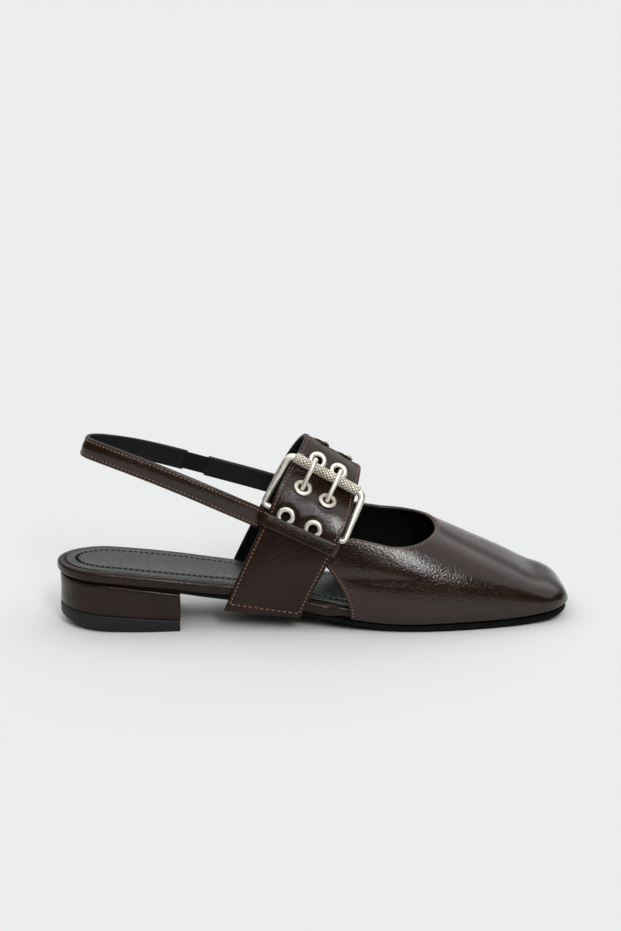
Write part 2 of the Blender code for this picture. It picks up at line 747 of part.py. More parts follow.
def build_buckle(surface, metal):
    """A wire frame round the strap with a thick bar on top, and two prongs through the second eyelet row."""
    foot_along = surface.keeper + KEEPER_WIDTH + FRAME_FOOT_UP
    top_along = foot_along + FRAME_LENGTH
    inside = STRAP_THICKNESS / 2 + GAP + FRAME_RADIUS
    outside = STRAP_THICKNESS / 2 + GAP + BAR_RADIUS
    ends = []
    for along, shift, height, width in (
        (top_along, FRAME_TOP_SHIFT, outside, FRAME_TOP_WIDTH),
        (foot_along, FRAME_FOOT_SHIFT, -inside, FRAME_FOOT_WIDTH),
    ):
        middle = surface.point(along, shift, height)
        across = surface.frame(along)[1]
        ends.append((middle - across * width / 2, middle + across * width / 2))
    (top_rear, top_front), (foot_rear, foot_front) = ends
    corners = [top_rear, top_front, foot_front, foot_rear]
    path, radii = [], []
    for k, corner in enumerate(corners):
        size, radius = (FRAME_TOP_CORNER, FRAME_SHOULDER_RADIUS) if k < 2 else (FRAME_FOOT_CORNER, FRAME_RADIUS)
        arms = [unit(corners[j % 4] - corner) * size for j in (k - 1, k + 1)]
        for t in np.linspace(0, 1, 5):
            path.append(corner + arms[0] * (1 - t) ** 2 + arms[1] * t**2)
            radii.append(radius)
        if k == 0:
            for share in (0.12, 0.14, 0.86, 0.88):
                path.append(top_rear + (top_front - top_rear) * share)
                radii.append(BAR_RADIUS if 0.13 < share < 0.87 else radius)
    tube("buckle_frame", path, radii, 10, metal, closed=True)
    row = EYELETS[PRONG_ROW]
    hole_along = surface.keeper + KEEPER_WIDTH + row.up
    for name, side in (("prong_rear", -0.5), ("prong_front", 0.5)):
        sideways = row.sideways + side * row.spacing
        build_prong(name, surface, sideways, foot_along, -inside, hole_along, top_along, metal)


def build_prong(name, surface, sideways, pivot_along, pivot_height, hole_along, bar_along, metal):
    """A prong hooked under the frame's lower bar, up through an eyelet and over the thick bar."""
    hook_radius = FRAME_RADIUS + GAP + PRONG_RADIUS
    over_bar = STRAP_THICKNESS / 2 + GAP + 2 * BAR_RADIUS + GAP + PRONG_RADIUS
    route = []
    for angle in np.radians(np.linspace(180, 275, 5)):
        route.append((pivot_along + hook_radius * math.cos(angle), pivot_height + hook_radius * math.sin(angle)))
    route += [
        (hole_along - 3.0, -STRAP_THICKNESS / 2 - GAP - PRONG_RADIUS - 0.6),
        (hole_along - 0.8, -STRAP_THICKNESS / 2 - 0.3),
        (hole_along - 0.2, STRAP_THICKNESS / 2 + 0.6),
        (hole_along + 1.4, STRAP_THICKNESS / 2 + 3.1),
        (bar_along - 1.0, over_bar),
        (bar_along + PRONG_PAST_BAR, over_bar - 0.4),
    ]
    path = [surface.point(along, sideways, height) for along, height in route]
    radii = [PRONG_RADIUS] * (len(path) - 1) + [0.55 * PRONG_RADIUS]
    return tube(name, path, radii, 8, metal)


def build_sling(leather, elastic):
    """Heel strap in three pieces: the long strap, the elastic and the short inner tab."""
    count = 121
    line = spaced_evenly(spline_through(SLING, 24), count)
    along = unit(np.gradient(line, axis=0))
    up = np.array([math.sin(SLING_PITCH), 0, math.cos(SLING_PITCH)])
    across = unit(up - along * (along @ up)[:, None])
    normals = np.cross(along, across)
    inner_side = np.arange(count) > count // 2
    cuts = [0, *(np.argmax(inner_side & (line[:, 0] > x)) for x in (ELASTIC_REAR, ELASTIC_FRONT)), count - 1]
    pieces = (
        ("sling_strap", SLING_WIDTH, SLING_THICKNESS, leather, 2),
        ("sling_elastic", ELASTIC_WIDTH, ELASTIC_THICKNESS, elastic, 1),
        ("sling_tab", SLING_WIDTH, SLING_THICKNESS, leather, 2),
    )
    for k, (name, width, thickness, finish, stride) in enumerate(pieces):
        pick = list(range(cuts[k], cuts[k + 1], stride)) + [cuts[k + 1]]
        centres = line[pick].copy()
        if k:
            centres[0] += along[pick[0]] * GAP
        ribbon(name, centres, across[pick], normals[pick], width, thickness, finish)


def main():
    for old in list(bpy.data.objects):
        bpy.data.objects.remove(old, do_unlink=True)
    leather = material("brown_leather", (0.035, 0.020, 0.016), 0.3)
    lining = material("black_lining", (0.012, 0.013, 0.013), 0.45)
    sole_black = material("black_sole", (0.010, 0.010, 0.011), 0.5)
    rubber = material("black_rubber", (0.012, 0.013, 0.014), 0.55)
    elastic = material("black_elastic", (0.015, 0.015, 0.016), 0.8)
    metal = material("pale_nickel", (0.78, 0.74, 0.66), 0.25, 1.0)
    build_sole(leather, sole_black, rubber, lining)
    build_upper(leather)
    surface = StrapSurface()
    build_strap(surface, leather, metal)
    build_buckle(surface, metal)
    build_sling(leather, elastic)


main()
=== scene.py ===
"""Looks of the right-foot slingback flat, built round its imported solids.

Lengths are in millimetres, measured along the shoe from the back of the heel, and each mesh is scaled
to metres as it is made. +X is the toe, -Y the outer side that faces the camera, and the floor is Z = 0.
"""

import math
from collections import namedtuple

import bmesh
import bpy
import numpy as np
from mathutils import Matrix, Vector


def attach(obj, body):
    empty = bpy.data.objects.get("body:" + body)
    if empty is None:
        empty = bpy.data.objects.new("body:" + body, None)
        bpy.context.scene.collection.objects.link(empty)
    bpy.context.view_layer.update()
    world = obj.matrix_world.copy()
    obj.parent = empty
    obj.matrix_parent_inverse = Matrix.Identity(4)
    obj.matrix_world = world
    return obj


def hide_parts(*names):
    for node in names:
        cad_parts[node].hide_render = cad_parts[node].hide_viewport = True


MM = 0.001

# Sizes shared with the solids
LENGTH = 250.0
GAP = 0.3
HEEL_ROUND = 27.0
TOE_CORNER = 13.0
LIFT_TOP_REAR = 10.2
LIFT_TOP_FRONT = 5.5
LIFT_REAR_RISE = 4.2
LIFT_RISE_LENGTH = 40.0
HEEL_INSET = 1.4
HEEL_BREAST = 58.8
BREAST_RAKE = 0.3
BREAST_BLEND = 4.0
BAND_ROUND = 2.0
INSOLE_THICKNESS = 1.0
INSOLE_INSET = 4.0
INSOLE_IN_VAMP = 1.0
INSOLE_SUNK = 1.1
INSOLE_RISES = 108.0
INSOLE_LEVEL = 127.0
OUTSOLE_INSET = 1.2
WALL = 2.0
FEATHER_TUCK = 1.0
TUCK_HEIGHT = 8.0
VAMP_REAR = 140.0
WING_REAR = 117.0
REAR_SWEEP_POWER = 1.9
VAMP_INSET = WALL + FEATHER_TUCK + GAP
INSET_STARTS = 127.0
INSET_ENDS = 137.0
TOE_INSET = 1.8
TOE_INSET_STARTS = 215.0
THROAT_FRONT = 184.5
THROAT_CENTRE = 160.0
THROAT_FULLNESS = 2.6
NOSE_FULLNESS = 2.4
STRAP_THICKNESS = 2.0
PANEL_MARGIN = 0.5
KEEPER_WIDTH = 6.5
KEEPER_THICKNESS = 1.3
KEEPER_STANDOFF = 1.2
EYELET_HOLE_RADIUS = 2.2
EYELET_RIM_RADIUS = 4.6
EYELET_RIM_HEIGHT = 0.9
EYELET_BARREL = 0.5
FRAME_TOP_WIDTH = 40.3
FRAME_TOP_SHIFT = 0.15
FRAME_FOOT_WIDTH = 43.3
FRAME_FOOT_SHIFT = -1.15
FRAME_FOOT_UP = 2.6
FRAME_LENGTH = 25.0
FRAME_RADIUS = 1.45
FRAME_SHOULDER_RADIUS = 1.75
BAR_RADIUS = 2.55
FRAME_TOP_CORNER = 4.0
FRAME_FOOT_CORNER = 2.4
PRONG_RADIUS = 1.15
PRONG_PAST_BAR = 3.2
SLING_WIDTH = 10.0
SLING_THICKNESS = 2.2
ELASTIC_WIDTH = 8.6
ELASTIC_THICKNESS = 1.4
SLING_PITCH = math.radians(20.4)
ELASTIC_REAR = 63.5
ELASTIC_FRONT = 73.5
KEEPER_ROW = 2
PRONG_ROW = 1


def table(columns, rows):
    """Rows of numbers with a plain name for each column."""
    row_type = namedtuple("row_type", columns)
    return [row_type(*row) for row in rows]


# Plan of the last's bottom edge: half widths to each side of the shoe's axis
OUTLINE = table("from_heel lateral medial", [
    (27.0, 25.4, 21.8),
    (45.0, 26.6, 22.0),
    (65.0, 25.8, 22.2),
    (85.0, 23.8, 21.4),
    (105.0, 25.8, 21.2),
    (125.0, 29.3, 24.8),
    (145.0, 34.0, 30.8),
    (162.0, 37.2, 35.6),
    (176.0, 38.1, 37.9),
    (190.0, 37.6, 38.1),
    (205.0, 36.0, 37.0),
    (220.0, 33.4, 34.6),
    (235.0, 29.4, 31.0),
    (250.0, 24.6, 27.0),
])

# Heights and thicknesses of the sole along the shoe
SOLE = table("from_heel footbed_top footbed outsole", [
    (0.0, 31.4, 5.0, 0.9),
    (20.0, 30.7, 5.6, 1.0),
    (40.0, 28.8, 5.7, 1.3),
    (60.0, 26.1, 5.5, 1.9),
    (72.0, 24.2, 5.9, 2.1),
    (87.0, 22.0, 6.0, 2.6),
    (125.0, 13.8, 6.1, 2.3),
    (144.0, 10.6, 5.8, 2.6),
    (160.0, 9.3, 5.8, 2.7),
    (174.0, 8.9, 5.8, 2.9),
    (184.0, 9.1, 5.8, 3.3),
    (208.0, 9.1, 5.8, 3.3),
    (226.0, 9.4, 5.8, 3.3),
    (239.0, 10.6, 5.8, 3.3),
    (250.0, 12.6, 5.8, 3.3),
])

# Crown line of the last above the floor, and how square its cross-section is
LAST = table("from_heel crown fullness", [
    (110.0, 80.0, 2.3),
    (130.0, 71.0, 2.3),
    (150.0, 62.0, 2.3),
    (170.0, 52.6, 2.5),
    (187.0, 43.6, 2.75),
    (206.0, 33.8, 3.2),
    (222.0, 25.9, 3.5),
    (237.0, 18.2, 3.6),
    (244.0, 16.7, 3.6),
    (250.0, 16.2, 3.6),
])

# How far the collar edge lies from the shoe's axis, behind the throat
TOPLINE = table("from_heel lateral medial", [
    (117.0, 25.2, 18.4),
    (140.0, 27.0, 20.8),
    (160.0, 29.3, 23.4),
])

# Rear and front edges of the strap loop, from its outer foot over the instep to its inner foot
STRAP = table("rear_x rear_y rear_z front_x front_y front_z", [
    (80.0, -25.7, 10.2, 115.6, -29.7, 6.9),
    (88.7, -25.1, 31.0, 122.1, -32.9, 22.2),
    (98.8, -23.0, 51.3, 130.6, -34.6, 39.1),
    (108.5, -17.1, 73.1, 140.8, -27.2, 56.7),
    (117.8, -8.0, 85.5, 146.2, -10.5, 69.8),
    (121.0, 1.0, 90.6, 148.2, 1.0, 73.0),
    (116.5, 10.5, 83.5, 145.5, 12.5, 68.0),
    (107.6, 17.0, 66.7, 136.5, 22.0, 53.0),
    (100.2, 22.2, 48.0, 128.2, 28.6, 37.0),
    (91.0, 23.8, 29.0, 120.7, 28.0, 22.0),
    (82.5, 23.1, 11.0, 113.3, 25.6, 7.3),
])

# Rows of two eyelets: distance up the strap from the keeper, place across, and spacing
EYELETS = table("up sideways spacing", [
    (1.8, -2.3, 14.4),
    (16.8, -1.1, 13.2),
    (34.0, -0.4, 11.4),
    (50.5, 0.4, 13.4),
])

# Centre line of the sling strap from the outer side panel round the heel to the inner side
SLING = table("x y z", [
    (103.0, -17.0, 50.8),
    (97.0, -18.9, 54.8),
    (84.0, -20.8, 61.4),
    (62.0, -19.2, 71.4),
    (42.0, -15.2, 79.2),
    (27.0, -10.4, 84.2),
    (17.6, -5.4, 86.8),
    (14.6, 0.0, 87.3),
    (17.6, 5.4, 87.1),
    (27.0, 10.4, 84.9),
    (42.0, 15.2, 80.9),
    (62.0, 18.6, 74.5),
    (84.0, 19.0, 67.8),
    (97.0, 17.2, 64.4),
    (109.0, 14.4, 61.2),
])

# Creases of the upper: side of the shoe, both ends (from heel, height), depth and half width
CREASES = table("side from_x from_z to_x to_z depth half_width", [
    (-1, 134.0, 27.4, 176.0, 25.0, 0.55, 3.0),
    (-1, 138.5, 31.0, 147.0, 26.8, 0.07, 0.8),
    (-1, 141.0, 32.2, 150.0, 27.6, 0.06, 0.8),
    (-1, 144.5, 32.8, 154.0, 28.4, 0.05, 0.8),
    (-1, 152.0, 28.6, 168.0, 25.4, 0.06, 1.0),
    (-1, 189.0, 37.0, 197.0, 33.4, 0.08, 1.2),
    (1, 140.0, 24.5, 170.0, 21.5, 0.4, 2.6),
    (1, 148.0, 29.5, 158.0, 26.5, 0.1, 1.0),
])
CREASE_FADE = 6.0

# Stitching: spacing, thread and needle holes, the groove it lies in, and its distance from each edge
STITCH_PITCH = 2.0
UPPER_STITCH_PITCH = 1.6
FOOT_STITCH_PITCH = 2.6
SOCK_STITCH_PITCH = 2.8
STITCH_RADIUS = 0.34
SOCK_STITCH_RADIUS = 0.75
STITCH_FILL = 0.72
HOLE_SHARE = 1.1
HOLE_RISE = 0.05
HOLE_DEPTH = 0.4
GROOVE_DEPTH = 0.2
GROOVE_WIDTH = 0.5
PANEL_STITCH = 1.7
PANEL_FOOT_STITCH = 3.4
STRAP_STITCH = 1.8
SLING_STITCH = 1.6
COLLAR_STITCH = 1.7
REAR_STITCH = 1.7
SOCK_STITCH = 5.3
SOCK_STITCH_HEIGHT = 0.45

# Padding of the leather between its stitch lines, and the distances from an edge where it is full
PANEL_PUFF = 0.35
PANEL_PUFF_FULL = 9.0
PANEL_FOOT_PUFF_FULL = 10.0
STRAP_PUFF = 0.2
STRAP_PUFF_FULL = 8.0
SLING_PUFF = 0.3
KEEPER_PUFF = 0.15
KEEPER_ARCH = 0.3

# Bead along the collar, dimples and holes of the eyelets, tip of the prongs, and the elastic's weave
COLLAR_BEAD = 0.12
COLLAR_BEAD_BELOW = 0.9
COLLAR_BEAD_WIDTH = 0.6
DIMPLE_DEPTH = 0.3
DIMPLE_WIDTH = 1.2
CUTTER_SHARE = 1.6
PRONG_TIP = 0.8
RIB_HEIGHT = 0.14
RIB_PITCH = 1.1
YARN_HEIGHT = 0.08
YARN_PITCH = 1.0
ELASTIC_TUCK = 2.0

# How far the pulled leather of the strap stands out, by distance past the row that the prongs go through
BULGE = table("past_row out", [
    (-40.0, 0.0),
    (-25.0, 0.0),
    (-17.0, 1.0),
    (-11.0, 1.7),
    (-4.6, 1.5),
    (4.6, -2.3),
    (8.5, -3.0),
    (13.0, -1.3),
    (18.0, 0.0),
    (60.0, 0.0),
])
BULGE_SPREAD = 1.5
BULGE_EDGE_FALL = 0.35
BULGE_HALF_WIDTH = 17.0

# How close the points of the fine meshes are
SKIN_STEP = 0.75
UPPER_STEP = 0.85
KEEPER_STEP = 0.6
NARROW_STEP = 0.5
EDGE_STEPS = 6
PLATE_STEP = 1.5
HEEL_STEPS = 44
HEEL_FIRST_DEGREES = 1.5
CLOSEST = 0.05
TOE_STEPS = 18
CAP_COLUMNS = 10
PILLOW_ROWS = 12
STRAP_STEPS = 24
STRAP_EASE = 7
SLING_STEPS = 40
SLING_EASE = 14
WEAVE_STEP = 0.2

# Share of a rounded edge, from its rim inwards, that is painted, and the angle of an edge to be softened
PAINTED_SHARE = 0.3
HARD_EDGE = math.radians(38)

# Where most of a noise texture's values lie
NOISE_LOW = 0.3
NOISE_HIGH = 0.7


def monotone(places, values):
    """A function through the values that never overshoots them and runs on straight past both ends."""
    steps = np.diff(places)
    slopes = np.diff(values) / steps
    tangents = np.zeros(len(places))
    before = slopes[:-1]
    after = slopes[1:]
    same_way = before * after > 0
    tangents[1:-1][same_way] = (2 * before * after)[same_way] / (before + after)[same_way]
    tangents[0] = slopes[0]
    tangents[-1] = slopes[-1]

    def at(place):
        inside = np.clip(place, places[0], places[-1])
        i = np.clip(np.searchsorted(places, inside) - 1, 0, len(steps) - 1)
        t = (inside - places[i]) / steps[i]
        curve = (
            values[i] * (1 + 2 * t) * (1 - t) ** 2
            + tangents[i] * steps[i] * t * (1 - t) ** 2
            + values[i + 1] * t**2 * (3 - 2 * t)
            + tangents[i + 1] * steps[i] * t**2 * (t - 1)
        )
        end_slope = np.where(place < places[0], tangents[0], tangents[-1])
        return curve + end_slope * (place - inside)

    return at


def bell(spread, step):
    """Weights of a smoothing window."""
    reach = np.arange(-3 * spread, 3 * spread + step / 2, step)
    weights = np.exp(-((reach / spread) ** 2) / 2)
    return weights / weights.sum()


def smooth_curve(places, values, spread=3.0):
    """A table's values as a function, with the joins between its pieces eased over a few millimetres."""
    places = np.asarray(places, float)
    values = np.asarray(values, float)
    step = 0.25
    fine = np.arange(places[0] - 4 * spread, places[-1] + 4 * spread, step)
    soft = np.convolve(monotone(places, values)(fine), bell(spread, step), mode="same")
    return lambda place: np.interp(place, fine, soft)


def along_shoe(table, column):
    """One column of a table as a smooth function of the distance from the heel."""
    return smooth_curve([row.from_heel for row in table], [getattr(row, column) for row in table])


def spline_through(points, per_step):
    """Points on a smooth curve through a few points in space, the same number between each two of them."""
    points = np.asarray(points, float)
    padded = np.vstack([2 * points[0] - points[1], points, 2 * points[-1] - points[-2]])
    fine = []
    for i in range(1, len(padded) - 2):
        a, b, c, d = padded[i - 1 : i + 3]
        t = np.linspace(0, 1, per_step, endpoint=False)[:, None]
        fine.append(
            0.5 * (2 * b + (c - a) * t + (2 * a - 5 * b + 4 * c - d) * t**2 + (3 * b - a - 3 * c + d) * t**3)
        )
    return np.vstack(fine + [points[-1:]])


def eased(points, spread):
    """A dense line of points with its changes of curvature evened out and its ends kept."""
    window = bell(spread, 1)
    pad = len(window) // 2
    before = 2 * points[0] - points[pad:0:-1]
    after = 2 * points[-1] - points[-2 : -pad - 2 : -1]
    long = np.vstack([before, points, after])
    return np.column_stack([np.convolve(long[:, k], window, mode="valid") for k in range(points.shape[1])])


def lengths_along(points):
    return np.concatenate([[0], np.cumsum(np.linalg.norm(np.diff(points, axis=0), axis=1))])


def along_path(points, lengths, wanted):
    """Points of a line at the wanted lengths, which may be an array of any shape."""
    return np.stack([np.interp(wanted, lengths, points[:, k]) for k in range(points.shape[1])], axis=-1)


def unit(vectors):
    vectors = np.asarray(vectors, float)
    return vectors / np.linalg.norm(vectors, axis=-1, keepdims=True)


def smoothstep(low, high, value):
    t = np.clip((value - low) / (high - low), 0, 1)
    return t * t * (3 - 2 * t)


def hump(offset, half_width):
    """A soft bump of height 1."""
    return np.exp(-((offset / half_width) ** 2))


def graded(length, step, turn):
    """Places from 0 to length: crowded where an edge is turned over, evenly spaced between."""
    edge = turn * (1 - np.cos(np.radians(np.linspace(0, 90, EDGE_STEPS))))
    count = max(3, int(round((length - 2 * turn) / step)) + 1)
    middle = np.linspace(turn, length - turn, count)
    return np.concatenate([edge[:-1], middle, length - edge[-2::-1]])


def rounding(distance, turn):
    """Share of the full thickness at a distance from a rounded edge."""
    return np.sqrt(1 - (1 - np.clip(distance / turn, 0, 1)) ** 2)


def node(tree, kind, inputs):
    """A new shader node; an input that is a socket is linked, any other is set."""
    made = tree.nodes.new(kind)
    for key, value in inputs.items():
        if isinstance(value, bpy.types.NodeSocket):
            tree.links.new(value, made.inputs[key])
        else:
            made.inputs[key].default_value = value
    return made


def principled(name, colour, values):
    made = bpy.data.materials.new(name)
    made.use_nodes = True
    shader = made.node_tree.nodes["Principled BSDF"]
    shader.inputs["Base Color"].default_value = (*colour, 1.0)
    for key, value in values.items():
        shader.inputs[key].default_value = value
    return made, made.node_tree, shader


def noise(tree, place, scale, detail=2.0, distortion=0.0, roughness=0.5):
    inputs = {"Vector": place, "Scale": scale, "Detail": detail}
    inputs |= {"Distortion": distortion, "Roughness": roughness}
    return node(tree, "ShaderNodeTexNoise", inputs).outputs["Fac"]


def cells(tree, place, scale):
    return node(tree, "ShaderNodeTexVoronoi", {"Vector": place, "Scale": scale}).outputs["Distance"]


def textured(name, light, values, cloud, stops, layers, patches=None):
    """A material whose colour, roughness and relief follow textures in the object's own space.

    cloud is the texture of the colour, stops its two (place, colour), each of layers (texture, depth in
    millimetres) and patches (texture, smooth, rough). A texture is its function and that function's numbers.
    """
    made, tree, shader = principled(name, light, values)
    place = tree.nodes.new("ShaderNodeTexCoord").outputs["Object"]

    def drawn(texture, *numbers):
        return texture(tree, place, *numbers)

    ramp = node(tree, "ShaderNodeValToRGB", {"Fac": drawn(*cloud)})
    for element, (position, colour) in zip(ramp.color_ramp.elements, stops):
        element.position = position
        element.color = (*colour, 1.0)
    tree.links.new(ramp.outputs["Color"], shader.inputs["Base Color"])
    if patches:
        texture, smooth, rough = patches
        inputs = {"Value": drawn(*texture), "From Min": NOISE_LOW, "From Max": NOISE_HIGH}
        inputs |= {"To Min": smooth, "To Max": rough}
        tree.links.new(node(tree, "ShaderNodeMapRange", inputs).outputs["Result"], shader.inputs["Roughness"])
    relief = None
    for texture, depth in layers:
        inputs = {"Height": drawn(*texture), "Distance": depth * MM, "Strength": 1.0}
        if relief is not None:
            inputs["Normal"] = relief
        relief = node(tree, "ShaderNodeBump", inputs).outputs["Normal"]
    tree.links.new(relief, shader.inputs["Normal"])
    return made


def leather_material(name, dark, light, smooth, rough, grain, gloss=0.45):
    """Glazed brown leather: cloudy colour, uneven gloss, a soft swell and a fine pebble grain."""
    stops = [(0.32, dark), (0.68, light)]
    layers = [((noise, 90.0, 2.0), 0.08), ((noise, 900.0, 3.0, 0.5), 0.14 * grain)]
    patches = ((noise, 260.0, 3.0), smooth, rough)
    cloud = (noise, 48.0, 4.0, 0.6)
    return textured(name, light, {"Specular IOR Level": gloss}, cloud, stops, layers, patches)


def lining_material(name, dark, light, smooth, rough, gloss):
    """Thin black lining leather with a faint grain."""
    stops = [(0.3, dark), (0.7, light)]
    layers = [((noise, 700.0, 4.0), 0.06), ((cells, 1900.0), 0.02)]
    patches = ((noise, 300.0), smooth, rough)
    return textured(name, light, {"Specular IOR Level": gloss}, (noise, 70.0, 3.0), stops, layers, patches)


def rubber_material(name, dark, light, smooth, rough, relief, gloss=0.25):
    """Dull black rubber with fine specks."""
    specks = (noise, 420.0, 6.0, 0.3, 0.7)
    stops = [(0.3, dark), (0.75, light)]
    layers = [((noise, 240.0, 3.0), 0.12 * relief), (specks, 0.08 * relief)]
    patches = ((noise, 160.0), smooth, rough)
    return textured(name, light, {"Specular IOR Level": gloss}, specks, stops, layers, patches)


def metal_material(name, dark, light, smooth, rough):
    """Pale plated metal, a little uneven and worn."""
    stops = [(0.3, dark), (0.6, light)]
    patches = ((noise, 700.0, 4.0), smooth, rough)
    layers = [((noise, 420.0, 3.0), 0.02)]
    return textured(name, light, {"Metallic": 1.0}, (noise, 240.0, 3.0), stops, layers, patches)


def thread_material(name, dark, light):
    values = {"Roughness": 0.62, "Sheen Weight": 0.2}
    stops = [(0.3, dark), (0.7, light)]
    return textured(name, light, values, (noise, 900.0, 2.0), stops, [((noise, 3500.0, 1.0), 0.05)])


def woven_material(name, dark, light):
    """Woven elastic: dull yarns with a small weave."""
    values = {"Roughness": 0.85, "Specular IOR Level": 0.2}
    weave = (cells, 1300.0)
    return textured(name, light, values, weave, [(0.1, light), (0.7, dark)], [(weave, 0.12)])


LATERAL_WIDTH = along_shoe(OUTLINE, "lateral")
MEDIAL_WIDTH = along_shoe(OUTLINE, "medial")
FOOTBED_TOP = along_shoe(SOLE, "footbed_top")
FOOTBED_THICKNESS = along_shoe(SOLE, "footbed")
OUTSOLE_THICKNESS = along_shoe(SOLE, "outsole")
CROWN = along_shoe(LAST, "crown")
FULLNESS = along_shoe(LAST, "fullness")


def outsole_top(x):
    return FOOTBED_TOP(x) - FOOTBED_THICKNESS(x)


def outsole_bottom(x):
    return outsole_top(x) - OUTSOLE_THICKNESS(x)


def half_width(x, width):
    """Half width of the last's bottom on one side, with the round heel and the squared toe's corners."""
    x = np.asarray(x, float)
    into_heel = np.clip((HEEL_ROUND - x) / HEEL_ROUND, 0, 1)
    into_corner = np.clip(x - (LENGTH - TOE_CORNER), 0, TOE_CORNER)
    corner = TOE_CORNER - np.sqrt(TOE_CORNER**2 - into_corner**2)
    return width(np.maximum(x, HEEL_ROUND)) * np.sqrt(1 - into_heel**2) - corner


def add_object(name, points, faces, finishes, numbers=None):
    """A smooth-shaded object from points in millimetres measured from the heel, its faces turned outwards."""
    mesh = bpy.data.meshes.new(name)
    centred = np.asarray(points, float) - [LENGTH / 2, 0, 0]
    mesh.from_pydata((centred * MM).tolist(), [], faces)
    for finish in finishes:
        mesh.materials.append(finish)
    if numbers is not None:
        mesh.polygons.foreach_set("material_index", np.asarray(numbers, np.int32))
    shell = bmesh.new()
    shell.from_mesh(mesh)
    bmesh.ops.recalc_face_normals(shell, faces=shell.faces)
    shell.to_mesh(mesh)
    shell.free()
    mesh.shade_smooth()
    made = bpy.data.objects.new(name, mesh)
    bpy.context.scene.collection.objects.link(made)
    return made


def settle(piece, slot, *nodes):
    """Rides the piece on the shoe and hides the solids it stands for."""
    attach(piece, "root")
    if nodes:
        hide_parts(*nodes)


def quads(index):
    corners = [index[:-1, :-1], index[1:, :-1], index[1:, 1:], index[:-1, 1:]]
    return np.stack(corners, axis=-1).reshape(-1, 4)


def loft_faces(rings, per_ring, closed_path=False):
    """Quads between neighbouring closed rings of points."""
    index = np.arange(rings * per_ring).reshape(rings, per_ring)
    index = np.column_stack([index, index[:, 0]])
    if closed_path:
        index = np.vstack([index, index[0]])
    return quads(index).tolist()


def skin(name, mid, normals, turn, from_end, from_side, lift, finishes):
    """A closed sheet: outer and inner faces on one grid, meeting in a rounded edge all round.

    turn is half the thickness, and from_end and from_side are the distances of the points from the edges.
    finishes are those of the outer face, the inner face and the edge. Returns the object and its outer face.
    """
    half = turn * (rounding(from_end, turn) * rounding(from_side, turn))
    on_edge = np.minimum(from_end, from_side) < PAINTED_SHARE * turn
    border = np.ones(half.shape, bool)
    border[1:-1, 1:-1] = False
    upper = np.arange(half.size).reshape(half.shape)
    lower = upper.copy()
    lower[~border] = half.size + np.arange((~border).sum())
    cover = half / half.max()
    outer = mid + normals * (half + lift * cover)[..., None]
    inner = mid - normals * half[..., None]
    points = np.vstack([outer.reshape(-1, 3), inner[~border]])
    faces = np.vstack([quads(upper), quads(lower)[:, ::-1]])
    edge_face = (on_edge[:-1, :-1] & on_edge[1:, 1:]).ravel()
    numbers = np.concatenate([np.where(edge_face, 2, 0), np.where(edge_face, 2, 1)])
    return add_object(name, points, faces.tolist(), finishes, numbers), outer


def grid_normals(mid):
    return unit(np.cross(np.gradient(mid, axis=1), np.gradient(mid, axis=0)))


def on_grid(values, us, vs, u, v):
    """Values of a grid at places between its points."""
    i = np.clip(np.searchsorted(us, u) - 1, 0, len(us) - 2)
    k = np.clip(np.searchsorted(vs, v) - 1, 0, len(vs) - 2)
    a = ((u - us[i]) / (us[i + 1] - us[i]))[:, None]
    b = ((v - vs[k]) / (vs[k + 1] - vs[k]))[:, None]
    low = values[i, k] * (1 - b) + values[i, k + 1] * b
    high = values[i + 1, k] * (1 - b) + values[i + 1, k + 1] * b
    return low * (1 - a) + high * a


def on_sheet(outer, normals, us, vs, u, v):
    """Points and normals along a line on a sheet's outer face."""
    return on_grid(outer, us, vs, u, v), on_grid(normals, us, vs, u, v)


def spokes(one, two, sides):
    """Directions all round, turning from one towards two."""
    angles = 2 * math.pi * np.arange(sides) / sides
    return one[..., None, :] * np.cos(angles)[:, None] + two[..., None, :] * np.sin(angles)[:, None]


def sew(looks, name, rows, thread="thread", slot="leather_brown", radius=STITCH_RADIUS, pitch=STITCH_PITCH):
    """Sewn stitches with their needle holes along paths on a surface; each row is (points, normals)."""
    # Each ring of a stitch: place along it, share of the radius, height over the surface in radii
    rings = np.array([(0, 0.45, -0.8), (0.14, 0.88, 0.1), (0.5, 1, 0.5), (0.86, 0.88, 0.1), (1, 0.45, -0.8)])
    sides = 6
    one = capped(loft_faces(len(rings), sides), len(rings), sides)
    points, faces, numbers = [], [], []
    total = 0
    for path, normals in rows:
        lengths = lengths_along(path)
        count = max(1, int(lengths[-1] / pitch))
        starts = np.arange(count) * lengths[-1] / count
        places = starts[:, None] + lengths[-1] / count * (0.5 + STITCH_FILL * (rings[:, 0] - 0.5))
        ahead = unit(np.gradient(path, axis=0))
        centre, up, along = (along_path(values, lengths, places) for values in (path, normals, ahead))
        wide = radius * rings[:, 1][None, :, None, None]
        high = radius * rings[:, 2][None, :, None]
        sewn = (centre + up * high)[:, :, None] + spokes(unit(np.cross(along, up)), up, sides) * wide
        points.append(sewn.reshape(-1, 3))
        for s in range(count):
            faces += [[total + s * len(rings) * sides + i for i in face] for face in one]
            numbers += [0] * len(one)
        total += count * len(rings) * sides
        # Needle holes: small cones in the near-black hole material, painted shade
        pierced, up, along = (along_path(values, lengths, starts) for values in (path, normals, ahead))
        rim = pierced[:, None] + radius * HOLE_SHARE * spokes(unit(np.cross(along, up)), along, sides)
        top = pierced + up * HOLE_RISE
        bottom = pierced - up * HOLE_DEPTH
        points.append(np.concatenate([rim, top[:, None], bottom[:, None]], axis=1).reshape(-1, 3))
        for s in range(count):
            first = total + s * (sides + 2)
            for k in range(sides):
                after = (k + 1) % sides
                faces.append([first + k, first + after, first + sides])
                faces.append([first + after, first + k, first + sides + 1])
            numbers += [1] * (2 * sides)
        total += count * (sides + 2)
    finishes = [looks[thread], looks["hole"]]
    settle(add_object(name, np.vstack(points), faces, finishes, numbers), slot)


